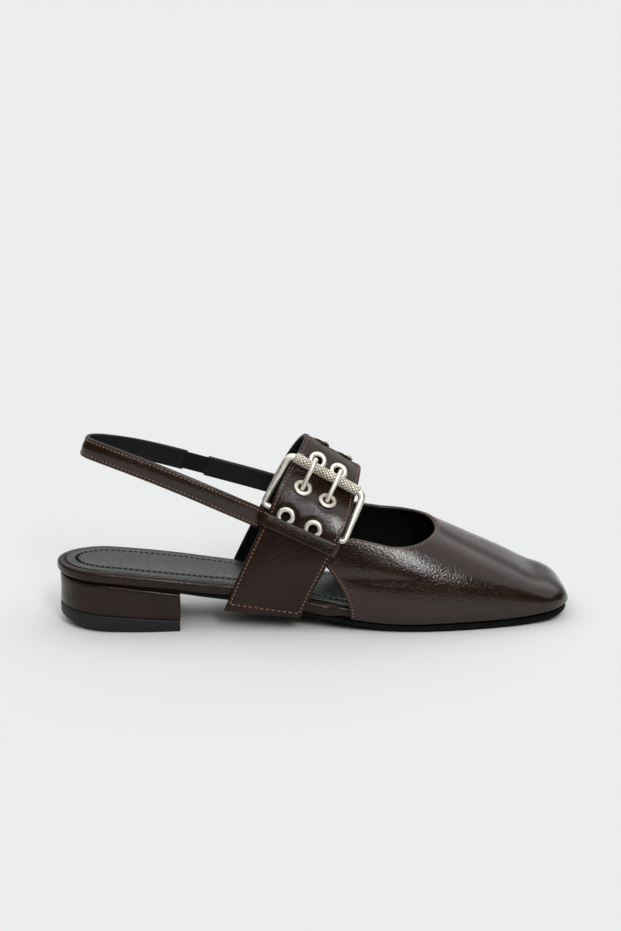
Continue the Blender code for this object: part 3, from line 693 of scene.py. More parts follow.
def tube_points(path, radii, sides, closed=False):
    """Rings of points round a path."""
    ahead = np.roll(path, -1, axis=0) - np.roll(path, 1, axis=0)
    if not closed:
        ahead = np.gradient(path, axis=0)
    ahead = unit(ahead)
    seed = np.eye(3)[np.argmin(np.abs(ahead[0]))]
    out = unit(np.cross(ahead[0], seed))
    rings = []
    for centre, along, radius in zip(path, ahead, radii):
        out = unit(out - along * np.dot(out, along))
        ring = spokes(out, np.cross(along, out), sides)
        rings.append(centre + ring * np.broadcast_to(radius, sides)[:, None])
    return np.vstack(rings)


def capped(faces, rings, sides):
    """Faces of a tube with both ends closed."""
    return faces + [list(range(sides)), list(range((rings - 1) * sides, rings * sides))]


def stations(last=LENGTH):
    """Places along the shoe, close together round the heel and at the toe's corners."""
    heel = HEEL_ROUND * (1 - np.cos(np.radians(np.linspace(HEEL_FIRST_DEGREES, 90, HEEL_STEPS))))
    middle = np.arange(HEEL_ROUND, LENGTH - TOE_CORNER, PLATE_STEP)[1:]
    toe = LENGTH - TOE_CORNER * (1 - np.cos(np.radians(np.linspace(90, 0, TOE_STEPS))))
    places = np.concatenate([heel, middle, toe])
    return np.append(places[places < last - CLOSEST], last)


def outline_ring(places, inset):
    """The bottom outline moved inwards: outer side, front, inner side back, and the back of the heel."""
    sides = []
    for sign, width in ((-1, LATERAL_WIDTH), (1, MEDIAL_WIDTH)):
        edge = np.column_stack([places, sign * half_width(places, width)])
        along = unit(np.gradient(edge, axis=0))
        inward = sign * np.column_stack([along[:, 1], -along[:, 0]])
        amount = inset(places)[:, None] if callable(inset) else inset
        sides.append(edge + inward * amount)
    across = np.linspace(0, 1, CAP_COLUMNS + 1)[1:-1, None]
    front = sides[0][-1] + (sides[1][-1] - sides[0][-1]) * across
    heel = sides[1][0] + (sides[0][0] - sides[1][0]) * across
    return np.vstack([sides[0], front, sides[1][::-1], heel])


def plate(name, levels, places, finish, crown=0.0):
    """A plate with the shoe's outline: rings stacked from the bottom up, each with an inset and a height."""
    rings = []
    for inset, height in levels:
        ring = outline_ring(places, inset)
        rings.append(np.column_stack([ring, height(ring[:, 0])]))
    per_ring = len(rings[0])
    points = [np.vstack(rings)]
    faces = loft_faces(len(levels), per_ring)
    count = len(places)
    total = len(levels) * per_ring
    share = np.linspace(0, 1, CAP_COLUMNS + 1)
    for first, ring, rise in ((0, rings[0], 0.0), (total - per_ring, rings[-1], crown)):
        outer = ring[:count]
        inner = ring[count + CAP_COLUMNS - 1 : 2 * count + CAP_COLUMNS - 1][::-1]
        index = np.empty((count, CAP_COLUMNS + 1), int)
        index[:, 0] = first + np.arange(count)
        index[:, -1] = first + 2 * count + CAP_COLUMNS - 2 - np.arange(count)
        index[-1, 1:-1] = first + count + np.arange(CAP_COLUMNS - 1)
        index[0, 1:-1] = first + 2 * count + 2 * CAP_COLUMNS - 3 - np.arange(CAP_COLUMNS - 1)
        inside = outer[1:-1, None] + (inner - outer)[1:-1, None] * share[1:-1, None]
        ends = np.minimum(np.arange(1, count - 1), np.arange(count - 2, 0, -1)) / PILLOW_ROWS
        inside[..., 2] += rise * smoothstep(0, 1, ends)[:, None] * (1 - (2 * share[1:-1] - 1) ** 2)
        index[1:-1, 1:-1] = total + np.arange((count - 2) * (CAP_COLUMNS - 1)).reshape(count - 2, -1)
        total += (count - 2) * (CAP_COLUMNS - 1)
        points.append(inside.reshape(-1, 3))
        faces += quads(index).tolist()
    return add_object(name, np.vstack(points), faces, [finish])


def soften(piece, width):
    """A small round on the piece's hard edges."""
    bevel = piece.modifiers.new("soft_edges", "BEVEL")
    bevel.width = width * MM
    bevel.segments = 3
    bevel.limit_method = "ANGLE"
    bevel.angle_limit = HARD_EDGE
    bevel.harden_normals = True
    return piece


def footbed_inset(x):
    toe = TOE_INSET * smoothstep(TOE_INSET_STARTS, LENGTH, x)
    return VAMP_INSET * smoothstep(INSET_STARTS, INSET_ENDS, x) + toe


def outsole_inset(x):
    behind_breast = 1 - smoothstep(HEEL_BREAST - BREAST_BLEND, HEEL_BREAST + BREAST_BLEND, x)
    return OUTSOLE_INSET + behind_breast * (HEEL_INSET - OUTSOLE_INSET)


def insole_inset(x):
    return np.maximum(INSOLE_INSET, footbed_inset(x) + INSOLE_IN_VAMP)


def insole_seat(x):
    return FOOTBED_TOP(x) - INSOLE_SUNK * (1 - smoothstep(INSOLE_RISES, INSOLE_LEVEL, x))


def rim_inset(x):
    return np.maximum(insole_inset(x) - GAP, footbed_inset(x) + BAND_ROUND + RIM_FLAT)


def stepped(inset, more):
    return lambda x: inset(x) + more


def raised(height, more):
    return lambda x: height(x) + more


# Outsole edge from the bottom up: share of the thickness, inset beyond its own
OUTSOLE_EDGE = [
    (0, 1.6), (0.02, 0.9), (0.12, 0.35), (0.3, 0.05), (0.5, 0),
    (0.58, 0.28), (0.66, 0.28), (0.74, 0), (0.94, 0.05), (1, 0.4),
]

# Footbed wrap: inset and height over the outsole at its foot, then beyond the rim and the top at its rim
WRAP_FOOT = [(1.0, GAP), (0.35, GAP + 0.2), (0.05, GAP + 0.8), (0, 1.6)]
WRAP_RIM = [(-0.5, -0.1), (-0.1, -0.35)]
RIM_FLAT = 0.4

# Sock: inset beyond its own edge, height over its base; a stitched groove runs inside the edge
SOCK_EDGE = [
    (0.1, 0), (0, 0.35), (0.1, 0.75), (0.45, 1.0), (1.2, 1.08), (3.0, 1.12), (4.3, 1.08),
    (4.65, 0.95), (4.95, 0.55), (5.3, 0.4), (5.65, 0.55), (5.95, 0.98), (6.4, 1.2), (6.9, 1.32),
]
SOCK_CROWN = 0.5

# Heel block side from the bottom up: share of its height, inset
HEEL_SIDE = [
    (0, 0.6), (0.01, 0.2), (0.05, 0), (0.3, 0.22), (0.55, 0.3),
    (0.8, 0.2), (0.93, 0.12), (0.985, 0.5), (1, 1.0),
]
COVER_OUT = 0.2
BLOCK_ROUND = 0.5

# Heel lift: inset beyond the heel's, and height over its bottom or its top
LIFT_FOOT = [(0.5, 0), (0.05, 0.35), (-0.3, 1.2)]
LIFT_HEAD = [(-0.3, -0.9), (-0.15, -0.25), (0.3, 0)]
LIFT_ROUND = 0.4


def build_sole(looks):
    """Outsole, wrapped footbed and sock."""
    whole = stations()

    def outsole_level(share):
        return lambda x: outsole_bottom(x) + share * OUTSOLE_THICKNESS(x)

    levels = [(stepped(outsole_inset, more), outsole_level(share)) for share, more in OUTSOLE_EDGE]
    settle(plate("outsole_edge", levels, whole, looks["sole"]), "sole_black", "outsole")

    levels = [(stepped(footbed_inset, more), raised(outsole_top, high)) for more, high in WRAP_FOOT]
    for angle in np.radians(np.linspace(0, 90, 9)):
        inset = stepped(footbed_inset, BAND_ROUND * (1 - math.cos(angle)))
        levels.append((inset, raised(FOOTBED_TOP, BAND_ROUND * (math.sin(angle) - 1))))
    levels += [(stepped(rim_inset, more), raised(FOOTBED_TOP, high)) for more, high in WRAP_RIM]
    levels.append((rim_inset, insole_seat))
    settle(plate("footbed_wrap", levels, whole, looks["side_leather"]), "leather_brown", "footbed")

    levels = [
        (stepped(insole_inset, more), raised(insole_seat, GAP + high * INSOLE_THICKNESS))
        for more, high in SOCK_EDGE
    ]
    settle(plate("sock", levels, whole, looks["sock"], SOCK_CROWN), "lining_black", "insole")
    groove = outline_ring(whole, stepped(insole_inset, SOCK_STITCH))
    run = groove[: len(whole)]
    back = groove[len(whole) + CAP_COLUMNS - 1 : 2 * len(whole) + CAP_COLUMNS - 1]
    rows = []
    for line in (run, back):
        path = np.column_stack([line, insole_seat(line[:, 0]) + GAP + SOCK_STITCH_HEIGHT])
        rows.append((path, np.broadcast_to([0.0, 0.0, 1.0], path.shape)))
    sew(looks, "sock_stitching", rows, "dark_thread", "lining_black", SOCK_STITCH_RADIUS, SOCK_STITCH_PITCH)


def build_heel(looks):
    """Leather-covered heel block and its rubber lift."""
    places = stations(HEEL_BREAST)

    def lift_bottom(x):
        return LIFT_REAR_RISE * np.clip(1 - (x - HEEL_INSET) / LIFT_RISE_LENGTH, 0, 1) ** 2

    def lift_top(x):
        return LIFT_TOP_REAR + (LIFT_TOP_FRONT - LIFT_TOP_REAR) * x / HEEL_BREAST

    def block_level(share):
        return lambda x: (1 - share) * (lift_top(x) + GAP) + share * (outsole_bottom(x) - GAP)

    levels = [(HEEL_INSET - COVER_OUT + more, block_level(share)) for share, more in HEEL_SIDE]
    block = plate("heel_cover", levels, places, looks["side_leather"])
    settle(soften(block, BLOCK_ROUND), "leather_brown", "heel_block")

    raked = np.append(places[:-1], HEEL_BREAST - BREAST_RAKE)
    raked = raked[np.append(np.diff(raked) > CLOSEST, True)]
    levels = [(HEEL_INSET + more, raised(lift_bottom, high)) for more, high in LIFT_FOOT]
    levels += [(HEEL_INSET + more, raised(lift_top, high)) for more, high in LIFT_HEAD]
    lift = plate("heel_top_piece", levels, raked, looks["rubber"])
    settle(soften(lift, LIFT_ROUND), "rubber_black", "heel_lift")


def section_middle(x):
    return (half_width(x, MEDIAL_WIDTH) - half_width(x, LATERAL_WIDTH)) / 2


def section_half(x):
    return (half_width(x, MEDIAL_WIDTH) + half_width(x, LATERAL_WIDTH)) / 2


def crown_rise(x):
    """Height of the crown line over the sole, rounded down to the sole at the nose."""
    into_nose = np.clip(x - (LENGTH - TOE_CORNER), 0, TOE_CORNER) / TOE_CORNER
    return (CROWN(x) - outsole_top(x)) * (1 - into_nose**NOSE_FULLNESS) ** (1 / NOSE_FULLNESS)


def last_point(x, angle):
    """A point on the outside of the upper: angle 0 is the outer sole edge, pi the inner one."""
    power = 2 / FULLNESS(x)
    rise = crown_rise(x) * np.abs(np.sin(angle)) ** power
    spread = np.sign(np.cos(angle)) * np.abs(np.cos(angle)) ** power
    tuck = FEATHER_TUCK * np.clip(1 - rise / TUCK_HEIGHT, 0, 1) ** 2
    half = np.maximum(section_half(x) - tuck, 0)
    return np.stack([x, section_middle(x) - half * spread, outsole_top(x) + GAP + rise], axis=-1)


def angle_at(x, across):
    """The angle where the last's section at x is this far across from the shoe's axis."""
    offset = across - section_middle(x)
    share = np.clip(np.abs(offset) / section_half(x), 0, 1)
    angle = np.arccos(share ** (FULLNESS(x) / 2))
    return np.where(offset > 0, math.pi - angle, angle)


def from_nose(x):
    """Distance back from the toe in a measure that follows the round nose; nose_place undoes it."""
    back = LENGTH - np.asarray(x, float)
    round_part = np.arccos(np.clip(1 - back / TOE_CORNER, 0, 1)) * 2 / math.pi
    return np.where(back < TOE_CORNER, round_part, 1 + (back - TOE_CORNER) / (TOE_CORNER * math.pi / 2))


def nose_place(measure):
    round_part = TOE_CORNER * (1 - np.cos(np.clip(measure, 0, 1) * math.pi / 2))
    return LENGTH - round_part - np.maximum(measure - 1, 0) * TOE_CORNER * math.pi / 2


def at_shares(path, shares):
    """Points of a path in (from_nose, angle) at shares of its length along the upper's surface."""
    lengths = lengths_along(last_point(nose_place(path[:, 0]), path[:, 1]))
    return along_path(path, lengths, np.asarray(shares) * lengths[-1])


def sole_edge_path():
    """The upper's bottom edge from its outer rear corner round the toe to its inner rear corner."""
    back = np.linspace(float(from_nose(VAMP_REAR)), 0, 400)
    turn = np.linspace(0, math.pi, 300)
    outer = np.column_stack([back, np.zeros(400)])
    front = np.column_stack([np.zeros(300), turn])
    inner = np.column_stack([back[::-1], np.full(400, math.pi)])
    return np.vstack([outer, front[1:-1], inner])


def topline_path():
    """The collar edge: long wings on both sides and a round throat."""
    wing = np.linspace(WING_REAR, THROAT_CENTRE, 200)[:-1]
    sweep = np.radians(np.linspace(0, 90, 201))
    throat = THROAT_CENTRE + (THROAT_FRONT - THROAT_CENTRE) * np.sin(sweep) ** (2 / THROAT_FULLNESS)
    sides = []
    for sign, column in ((-1, "lateral"), (1, "medial")):
        reach = along_shoe(TOPLINE, column)
        end = section_middle(THROAT_FRONT)
        across = end + (sign * reach(THROAT_CENTRE) - end) * np.cos(sweep) ** (2 / THROAT_FULLNESS)
        x = np.concatenate([wing, throat])
        y = np.concatenate([sign * reach(wing), across])
        sides.append(np.column_stack([from_nose(x), angle_at(x, y)]))
    return np.vstack([sides[0], sides[1][-2::-1]])


def crease_lift(points):
    """Listed troughs of the upper, as heights over its smooth surface."""
    lift = np.zeros(points.shape[:-1])
    for crease in CREASES:
        start = np.array([crease.from_x, crease.from_z])
        run = np.array([crease.to_x, crease.to_z]) - start
        offset = points[..., [0, 2]] - start
        share = np.clip(offset @ run / (run @ run), 0, 1)
        away = np.linalg.norm(offset - share[..., None] * run, axis=-1)
        fade = np.sin(math.pi * np.clip(share, 0.04, 0.96)) ** 0.7
        same_side = smoothstep(0, CREASE_FADE, points[..., 1] * crease.side)
        lift -= crease.depth * hump(away, crease.half_width) * fade * same_side
    return lift


def build_upper(looks):
    """The forepart: a fine grid from the sole edge up to the collar, lined in black, with its stitching."""
    half_wall = WALL / 2
    edge_length = 240.0
    wall_height = 46.0
    shares = graded(edge_length, UPPER_STEP, half_wall) / edge_length
    heights = graded(wall_height, SKIN_STEP, half_wall) / wall_height
    low = at_shares(sole_edge_path(), shares)
    high = at_shares(topline_path(), shares)
    swept = heights**REAR_SWEEP_POWER
    to_rear = smoothstep(0.55, 1.0, np.abs(2 * shares - 1))[:, None]
    reach = (high[:, 0] - low[:, 0])[:, None]
    measure = low[:, :1] + reach * (heights + (swept - heights) * to_rear)
    angle = low[:, 1:] + (high[:, 1] - low[:, 1])[:, None] * heights
    face = last_point(nose_place(measure), angle)
    normals = -grid_normals(face)
    column_lengths = np.array([lengths_along(column) for column in face])
    below_collar = column_lengths[:, -1:] - column_lengths
    row_lengths = np.array([lengths_along(face[:, k]) for k in range(len(heights))]).T
    from_back = np.minimum(row_lengths, row_lengths[-1] - row_lengths)
    lift = crease_lift(face)
    lift -= GROOVE_DEPTH * hump(below_collar - COLLAR_STITCH, GROOVE_WIDTH)
    lift -= GROOVE_DEPTH * hump(from_back - REAR_STITCH, GROOVE_WIDTH) * (column_lengths > 1.0)
    lift += COLLAR_BEAD * hump(below_collar - COLLAR_BEAD_BELOW, COLLAR_BEAD_WIDTH)
    from_rear = np.minimum(shares, 1 - shares)[:, None] * edge_length
    from_edge = np.minimum(heights, 1 - heights) * wall_height
    mid = face - normals * half_wall
    finishes = [looks["leather"], looks["lining"], looks["edge"]]
    upper, outer = skin("upper_leather", mid, normals, half_wall, from_rear, from_edge, lift, finishes)
    settle(upper, "leather_brown", "upper_vamp")

    inside = np.linspace(0.012, 0.988, 600)
    at_stitch = [np.interp(lengths[-1] - COLLAR_STITCH, lengths, heights) for lengths in column_lengths]
    rows = [on_sheet(outer, normals, shares, heights, inside, np.interp(inside, shares, at_stitch))]
    rise = np.linspace(0.03, 0.955, 160)
    for from_end in (False, True):
        reach = row_lengths[-1] - row_lengths if from_end else row_lengths
        order = slice(None, None, -1) if from_end else slice(None)
        at_stitch = [np.interp(REAR_STITCH, reach[order, k], shares[order]) for k in range(len(heights))]
        u = np.interp(rise, heights, at_stitch)
        rows.append(on_sheet(outer, normals, shares, heights, u, rise))
    sew(looks, "upper_stitching", rows, pitch=UPPER_STITCH_PITCH)


class StrapSurface:
    """The ruled surface of the strap loop, addressed by length along its middle and distance across."""

    def __init__(self):
        self.rear = eased(spline_through([row[:3] for row in STRAP], STRAP_STEPS), STRAP_EASE)
        self.front = eased(spline_through([row[3:] for row in STRAP], STRAP_STEPS), STRAP_EASE)
        self.length = lengths_along((self.rear + self.front) / 2)
        self.keeper = self.length[KEEPER_ROW * STRAP_STEPS]
        self.prong_row = self.keeper + KEEPER_WIDTH + EYELETS[PRONG_ROW].up
        self.bar = self.keeper + KEEPER_WIDTH + FRAME_FOOT_UP + FRAME_LENGTH
        self.out = smooth_curve([row.past_row for row in BULGE], [row.out for row in BULGE], BULGE_SPREAD)

    def edges(self, along):
        return (along_path(edge, self.length, along) for edge in (self.rear, self.front))

    def width(self, along):
        rear, front = self.edges(along)
        return np.linalg.norm(front - rear, axis=-1)

    def flat_grid(self, along, sideways):
        rear, front = self.edges(along)
        across = unit(front - rear)
        return (rear + front)[:, None] / 2 + across[:, None] * sideways[..., None]

    def bulge(self, along, sideways):
        """How far the pulled leather stands out or sinks in round the buckle, less towards its edges."""
        middle = 1 - BULGE_EDGE_FALL * (sideways / BULGE_HALF_WIDTH) ** 2
        return self.out(along - self.prong_row) * middle

    def grid(self, along, sideways):
        """Middle surface and outward normals of the strap at a grid of places."""
        flat = self.flat_grid(along, sideways)
        pushed = flat + grid_normals(flat) * self.bulge(along[:, None], sideways)[..., None]
        return pushed, grid_normals(pushed)

    def frame(self, along, sideways=0.0):
        """A point of the surface, the direction across towards the toe, and the outward normal."""
        near = np.array([-0.6, 0.0, 0.6])
        mid, normals = self.grid(along + near, np.broadcast_to(sideways + near, (3, 3)))
        return mid[1, 1], unit(mid[1, 2] - mid[1, 0]), normals[1, 1]

    def flat_frame(self, along, sideways=0.0):
        near = np.array([-1.0, 0.0, 1.0])
        flat = self.flat_grid(along + near, np.broadcast_to(sideways + near, (3, 3)))
        return flat[1, 1], unit(flat[1, 2] - flat[1, 0]), grid_normals(flat)[1, 1]

    def point(self, along, sideways, outwards):
        here, _, outward = self.flat_frame(along, sideways)
        return here + outward * outwards


def eyelet_places(surface):
    """(along, sideways) of every eyelet, row by row from the keeper."""
    for row in EYELETS:
        for side in (-0.5, 0.5):
            yield surface.keeper + KEEPER_WIDTH + row.up, row.sideways + side * row.spacing


def strap_skin(name, surface, first, last, margin, relief, finishes):
    """A length of the strap loop as leather with rounded edges; relief adds heights to its outer face."""
    turn = STRAP_THICKNESS / 2
    along = first + graded(last - first, SKIN_STEP, turn)
    nominal = surface.width(np.array([(first + last) / 2]))[0] + 2 * margin
    shares = graded(nominal, SKIN_STEP, turn) / nominal * 2 - 1
    half = surface.width(along) / 2 + margin
    sideways = half[:, None] * shares
    mid, normals = surface.grid(along, sideways)
    from_end = np.minimum(along - first, last - along)[:, None]
    from_side = half[:, None] - np.abs(sideways)
    lift = relief(along[:, None], sideways, from_side)
    made, outer = skin(name, mid, normals, turn, from_end, from_side, lift, finishes)

    def path(place_along, from_edge, side):
        """A line on the outer face at a distance in from one edge."""
        v = side * (1 - from_edge / np.interp(place_along, along, half))
        return on_sheet(outer, normals, along, shares, place_along, v)

    return made, path


def build_strap(surface, looks):
    """Side panel, instep strap with its eyelets, and the keeper band over their joint."""
    joint = surface.keeper + KEEPER_WIDTH / 2
    end = surface.length[-1]
    holes = list(eyelet_places(surface))
    leather = [looks["leather"], looks["lining"], looks["edge"]]
    side_leather = [looks["side_leather"], looks["lining"], looks["edge"]]

    def panel_relief(along, sideways, from_side):
        groove = hump(from_side - PANEL_STITCH, GROOVE_WIDTH) + hump(along - PANEL_FOOT_STITCH, GROOVE_WIDTH)
        puff = PANEL_PUFF * smoothstep(PANEL_STITCH, PANEL_PUFF_FULL, from_side)
        puff = puff * smoothstep(PANEL_FOOT_STITCH, PANEL_FOOT_PUFF_FULL, along)
        return puff - GROOVE_DEPTH * np.minimum(groove, 1)

    def strap_relief(along, sideways, from_side):
        lift = STRAP_PUFF * smoothstep(STRAP_STITCH, STRAP_PUFF_FULL, from_side)
        lift = lift - GROOVE_DEPTH * hump(from_side - STRAP_STITCH, GROOVE_WIDTH)
        for hole_along, hole_side in holes:
            away = np.hypot(along - hole_along, sideways - hole_side)
            lift = lift - DIMPLE_DEPTH * hump(np.maximum(away - EYELET_RIM_RADIUS, 0), DIMPLE_WIDTH)
        return lift

    panel_end = joint - GAP
    panel, path = strap_skin("panel_leather", surface, 0, panel_end, PANEL_MARGIN, panel_relief, side_leather)
    settle(panel, "leather_brown", "strap_panel")
    up = np.linspace(PANEL_FOOT_STITCH, surface.keeper + 1.0, 200)
    sew(looks, "panel_stitching", [path(up, PANEL_STITCH, side) for side in (-1, 1)])
    foot_half = surface.width(np.array([PANEL_FOOT_STITCH]))[0] / 2 + PANEL_MARGIN
    across = np.linspace(PANEL_STITCH, 2 * foot_half - PANEL_STITCH, 120)
    rows = [path(np.full(120, PANEL_FOOT_STITCH), across, -1)]
    sew(looks, "panel_foot_stitching", rows, pitch=FOOT_STITCH_PITCH)

    strap, path = strap_skin("strap_leather", surface, joint, end, 0, strap_relief, leather)
    cut_holes(strap, surface, holes, looks["edge"])
    settle(strap, "leather_brown", "instep_strap")
    run = np.linspace(joint + 1.5, end - 2.0, 700)
    sew(looks, "strap_stitching", [path(run, STRAP_STITCH, side) for side in (-1, 1)])
    build_eyelets(surface, holes, looks)
    build_keeper(surface, looks)


def cut_holes(strap, surface, holes, finish):
    """Round holes through the strap for the eyelets."""
    sides = 40
    radius = EYELET_HOLE_RADIUS + EYELET_BARREL + GAP
    reach = STRAP_THICKNESS * CUTTER_SHARE
    one = capped(loft_faces(2, sides), 2, sides)
    points, faces = [], []
    for number, (along, sideways) in enumerate(holes):
        centre, across, outward = surface.frame(along, sideways)
        ring = radius * spokes(across, np.cross(outward, across), sides)
        points += [centre + ring - outward * reach, centre + ring + outward * reach]
        faces += [[number * 2 * sides + i for i in face] for face in one]
    cutter = add_object("hole_cutter", np.vstack(points), faces, [finish])
    cut = strap.modifiers.new("holes", "BOOLEAN")
    cut.object = cutter
    cut.operation = "DIFFERENCE"
    cut.solver = "EXACT"
    bpy.context.view_layer.update()
    shape = strap.evaluated_get(bpy.context.evaluated_depsgraph_get())
    strap.data = bpy.data.meshes.new_from_object(shape)
    strap.modifiers.clear()
    bpy.data.objects.remove(cutter, do_unlink=True)


def build_eyelets(surface, holes, looks):
    """Rolled metal eyelets in the strap: painted shade down each hole, and behind all but the prongs' a
    painted-shade disc.
    """
    under = -STRAP_THICKNESS / 2
    seat = STRAP_THICKNESS / 2 + 0.02
    hole = EYELET_HOLE_RADIUS
    rim = EYELET_RIM_RADIUS
    barrel = hole + EYELET_BARREL
    middle = (rim + hole) / 2
    rise = 1.05 * EYELET_RIM_HEIGHT
    # Profile (from the axis, height): under the rim, over its roll, down the hole and out under the strap
    profile = [(barrel, seat), (rim - 0.35, seat - 0.05)]
    for angle in np.radians(np.linspace(0, 180, 13)):
        profile.append((middle + (rim - hole) / 2 * math.cos(angle), seat + 0.2 + rise * math.sin(angle)))
    shaded_from = len(profile) - 1
    profile += [(hole - 0.02, 0.4), (hole, under - 0.1), (hole + 0.3, under - 0.35)]
    profile += [(barrel + 0.5, under - 0.35), (barrel + 0.8, under - 0.15), (barrel + 0.5, under - 0.05)]
    profile = np.array([*profile, (barrel, under)])
    # The faces down the hole's wall take the near-black hole material: painted shade inside the barrel
    shaded = [int(shaded_from <= k < shaded_from + 2) for k in range(len(profile))]
    sides = 48
    for number, (along, sideways) in enumerate(holes, 1):
        centre, across, outward = surface.frame(along, sideways)
        out = spokes(across, np.cross(outward, across), sides)
        points = centre + out[:, None] * profile[:, 0, None] + outward * profile[:, 1, None]
        points = points.reshape(-1, 3)
        faces = loft_faces(sides, len(profile), closed_path=True)
        numbers = shaded * sides
        if along != surface.prong_row:
            # A disc of the near-black hole material across the back of the hole: painted shade
            points = np.vstack([points, centre + outward * profile[shaded_from + 2, 1]])
            ring = [k * len(profile) + shaded_from + 2 for k in range(sides)]
            faces += [[ring[k - 1], ring[k], len(points) - 1] for k in range(sides)]
            numbers = numbers + [1] * sides
        finishes = [looks["metal"], looks["hole"]]
        eyelet = add_object(f"rolled_eyelet_{number}", points, faces, finishes, numbers)
        settle(eyelet, "metal_nickel", f"eyelet_{number}")


def build_keeper(surface, looks):
    """A narrow leather band across the panel's top, turned in over both edges of the panel."""
    place = surface.keeper + KEEPER_WIDTH / 2
    middle, across, outward = surface.flat_frame(place)
    up = np.cross(outward, across)
    reach = surface.width(np.array([place]))[0] / 2 + PANEL_MARGIN + GAP + KEEPER_THICKNESS / 2
    height = STRAP_THICKNESS / 2 + KEEPER_STANDOFF + KEEPER_THICKNESS / 2
    low = -STRAP_THICKNESS / 2
    corner = 2.2
    bend = np.radians(np.linspace(0, 90, 9))
    left = [(-reach, low), (-reach, low + 0.5), (-reach, height - corner)]
    left += [(-reach + corner * (1 - math.cos(a)), height - corner + corner * math.sin(a)) for a in bend[1:]]
    top = np.linspace(-0.95, 0.95, 30)
    flat = [(share * (reach - corner), height + KEEPER_ARCH * (1 - share**2)) for share in top]
    line = np.array(left + flat + [(-side, level) for side, level in reversed(left)])
    lengths = lengths_along(line)
    turn = KEEPER_THICKNESS / 2
    run = graded(lengths[-1], KEEPER_STEP, turn)
    line = along_path(line, lengths, run)
    heading = unit(np.gradient(line, axis=0))
    centres = middle + across * line[:, :1] + outward * line[:, 1:]
    normals = outward * heading[:, :1] - across * heading[:, 1:]
    shares = graded(KEEPER_WIDTH, NARROW_STEP, turn) - KEEPER_WIDTH / 2
    mid = centres[:, None] + up * shares[:, None]
    grid = np.broadcast_to(normals[:, None], mid.shape)
    from_end = np.minimum(run, lengths[-1] - run)[:, None]
    from_side = KEEPER_WIDTH / 2 - np.abs(shares)
    lift = KEEPER_PUFF * (1 - (shares / (KEEPER_WIDTH / 2)) ** 2)
    finishes = [looks["leather"], looks["lining"], looks["edge"]]
    keeper, _ = skin("keeper_leather", mid, grid, turn, from_end, from_side, lift, finishes)
    settle(keeper, "leather_brown", "strap_keeper")


def build_buckle(surface, looks):
    """A wire frame round the strap, a knurled bar on top, and two prongs through the second eyelet row."""
    metal = looks["metal"]
    foot_along = surface.keeper + KEEPER_WIDTH + FRAME_FOOT_UP
    top_along = surface.bar
    inside = STRAP_THICKNESS / 2 + GAP + FRAME_RADIUS
    outside = STRAP_THICKNESS / 2 + GAP + BAR_RADIUS
    ends = []
    for along, shift, height, width in (
        (top_along, FRAME_TOP_SHIFT, outside, FRAME_TOP_WIDTH),
        (foot_along, FRAME_FOOT_SHIFT, -inside, FRAME_FOOT_WIDTH),
    ):
        middle = surface.point(along, shift, height)
        across = surface.flat_frame(along)[1]
        ends.append((middle - across * width / 2, middle + across * width / 2))
    (top_rear, top_front), (foot_rear, foot_front) = ends
    corners = [top_rear, top_front, foot_front, foot_rear]
    path, radii = [], []
    sizes = [FRAME_TOP_CORNER, FRAME_TOP_CORNER, FRAME_FOOT_CORNER, FRAME_FOOT_CORNER]
    thickness = [FRAME_SHOULDER_RADIUS, FRAME_SHOULDER_RADIUS, FRAME_RADIUS, FRAME_RADIUS]
    shares = np.linspace(0, 1, 22)[1:-1]
    for k, corner in enumerate(corners):
        before, after = (unit(corners[j % 4] - corner) for j in (k - 1, k + 1))
        for t in np.linspace(0, 1, 14):
            path.append(corner + sizes[k] * (before * (1 - t) ** 2 + after * t**2))
            radii.append(thickness[k])
        start = corner + after * sizes[k]
        finish = corners[(k + 1) % 4] - after * sizes[(k + 1) % 4]
        path += [start + (finish - start) * share for share in shares]
        radii += [thickness[k] + (thickness[(k + 1) % 4] - thickness[k]) * share for share in shares]
    path = np.array(path)
    sides = 22
    wire = tube_points(path, radii, sides, closed=True)
    faces = loft_faces(len(path), sides, closed_path=True)
    numbers = [0] * len(faces)
    points, sleeve_faces, in_grooves = knurled_sleeve(top_rear, top_front)
    faces += [[len(wire) + i for i in face] for face in sleeve_faces]
    points = np.vstack([wire, points])
    buckle = add_object("buckle_wire", points, faces, [metal, looks["groove_metal"]], numbers + in_grooves)
    settle(buckle, "metal_nickel", "buckle_frame")
    row = EYELETS[PRONG_ROW]
    for name, side in (("prong_rear", -0.5), ("prong_front", 0.5)):
        sideways = row.sideways + side * row.spacing
        build_prong(name, surface, sideways, foot_along, -inside, metal)


def knurled_sleeve(rear, front):
    """The thick bar: a sleeve with a diamond pattern of small pyramids, their tips cut flat, and a darker
    metal on the faces deep between them.
    """
    around = 96
    diamonds = 8
    steps = 240
    depth = 0.5
    flat_from = 0.8
    end_radius = FRAME_RADIUS - 0.2
    shares = np.linspace(0.06, 0.94, steps)
    path = rear + (front - rear) * shares[:, None]
    distance = shares * np.linalg.norm(front - rear)
    pitch = 2 * math.pi * BAR_RADIUS / diamonds
    angles = 2 * math.pi * np.arange(around) / around
    one = np.abs(np.sin((diamonds * angles + 2 * math.pi * distance[:, None] / pitch) / 2))
    two = np.abs(np.sin((diamonds * angles - 2 * math.pi * distance[:, None] / pitch) / 2))
    radius = BAR_RADIUS - depth + depth / flat_from * np.minimum(np.minimum(one, two), flat_from)
    ends = smoothstep(0, 0.02, np.minimum(shares - shares[0], shares[-1] - shares))[:, None]
    radius = end_radius + (radius - end_radius) * np.sqrt(ends)
    points = tube_points(path, radius, around)
    # The faces deep in the grooves between the pyramids take a darker metal
    in_grooves = radius[:-1] + radius[1:] < 2 * (BAR_RADIUS - 0.55 * depth)
    return points, capped(loft_faces(steps, around), steps, around), [*in_grooves.ravel().astype(int), 0, 0]


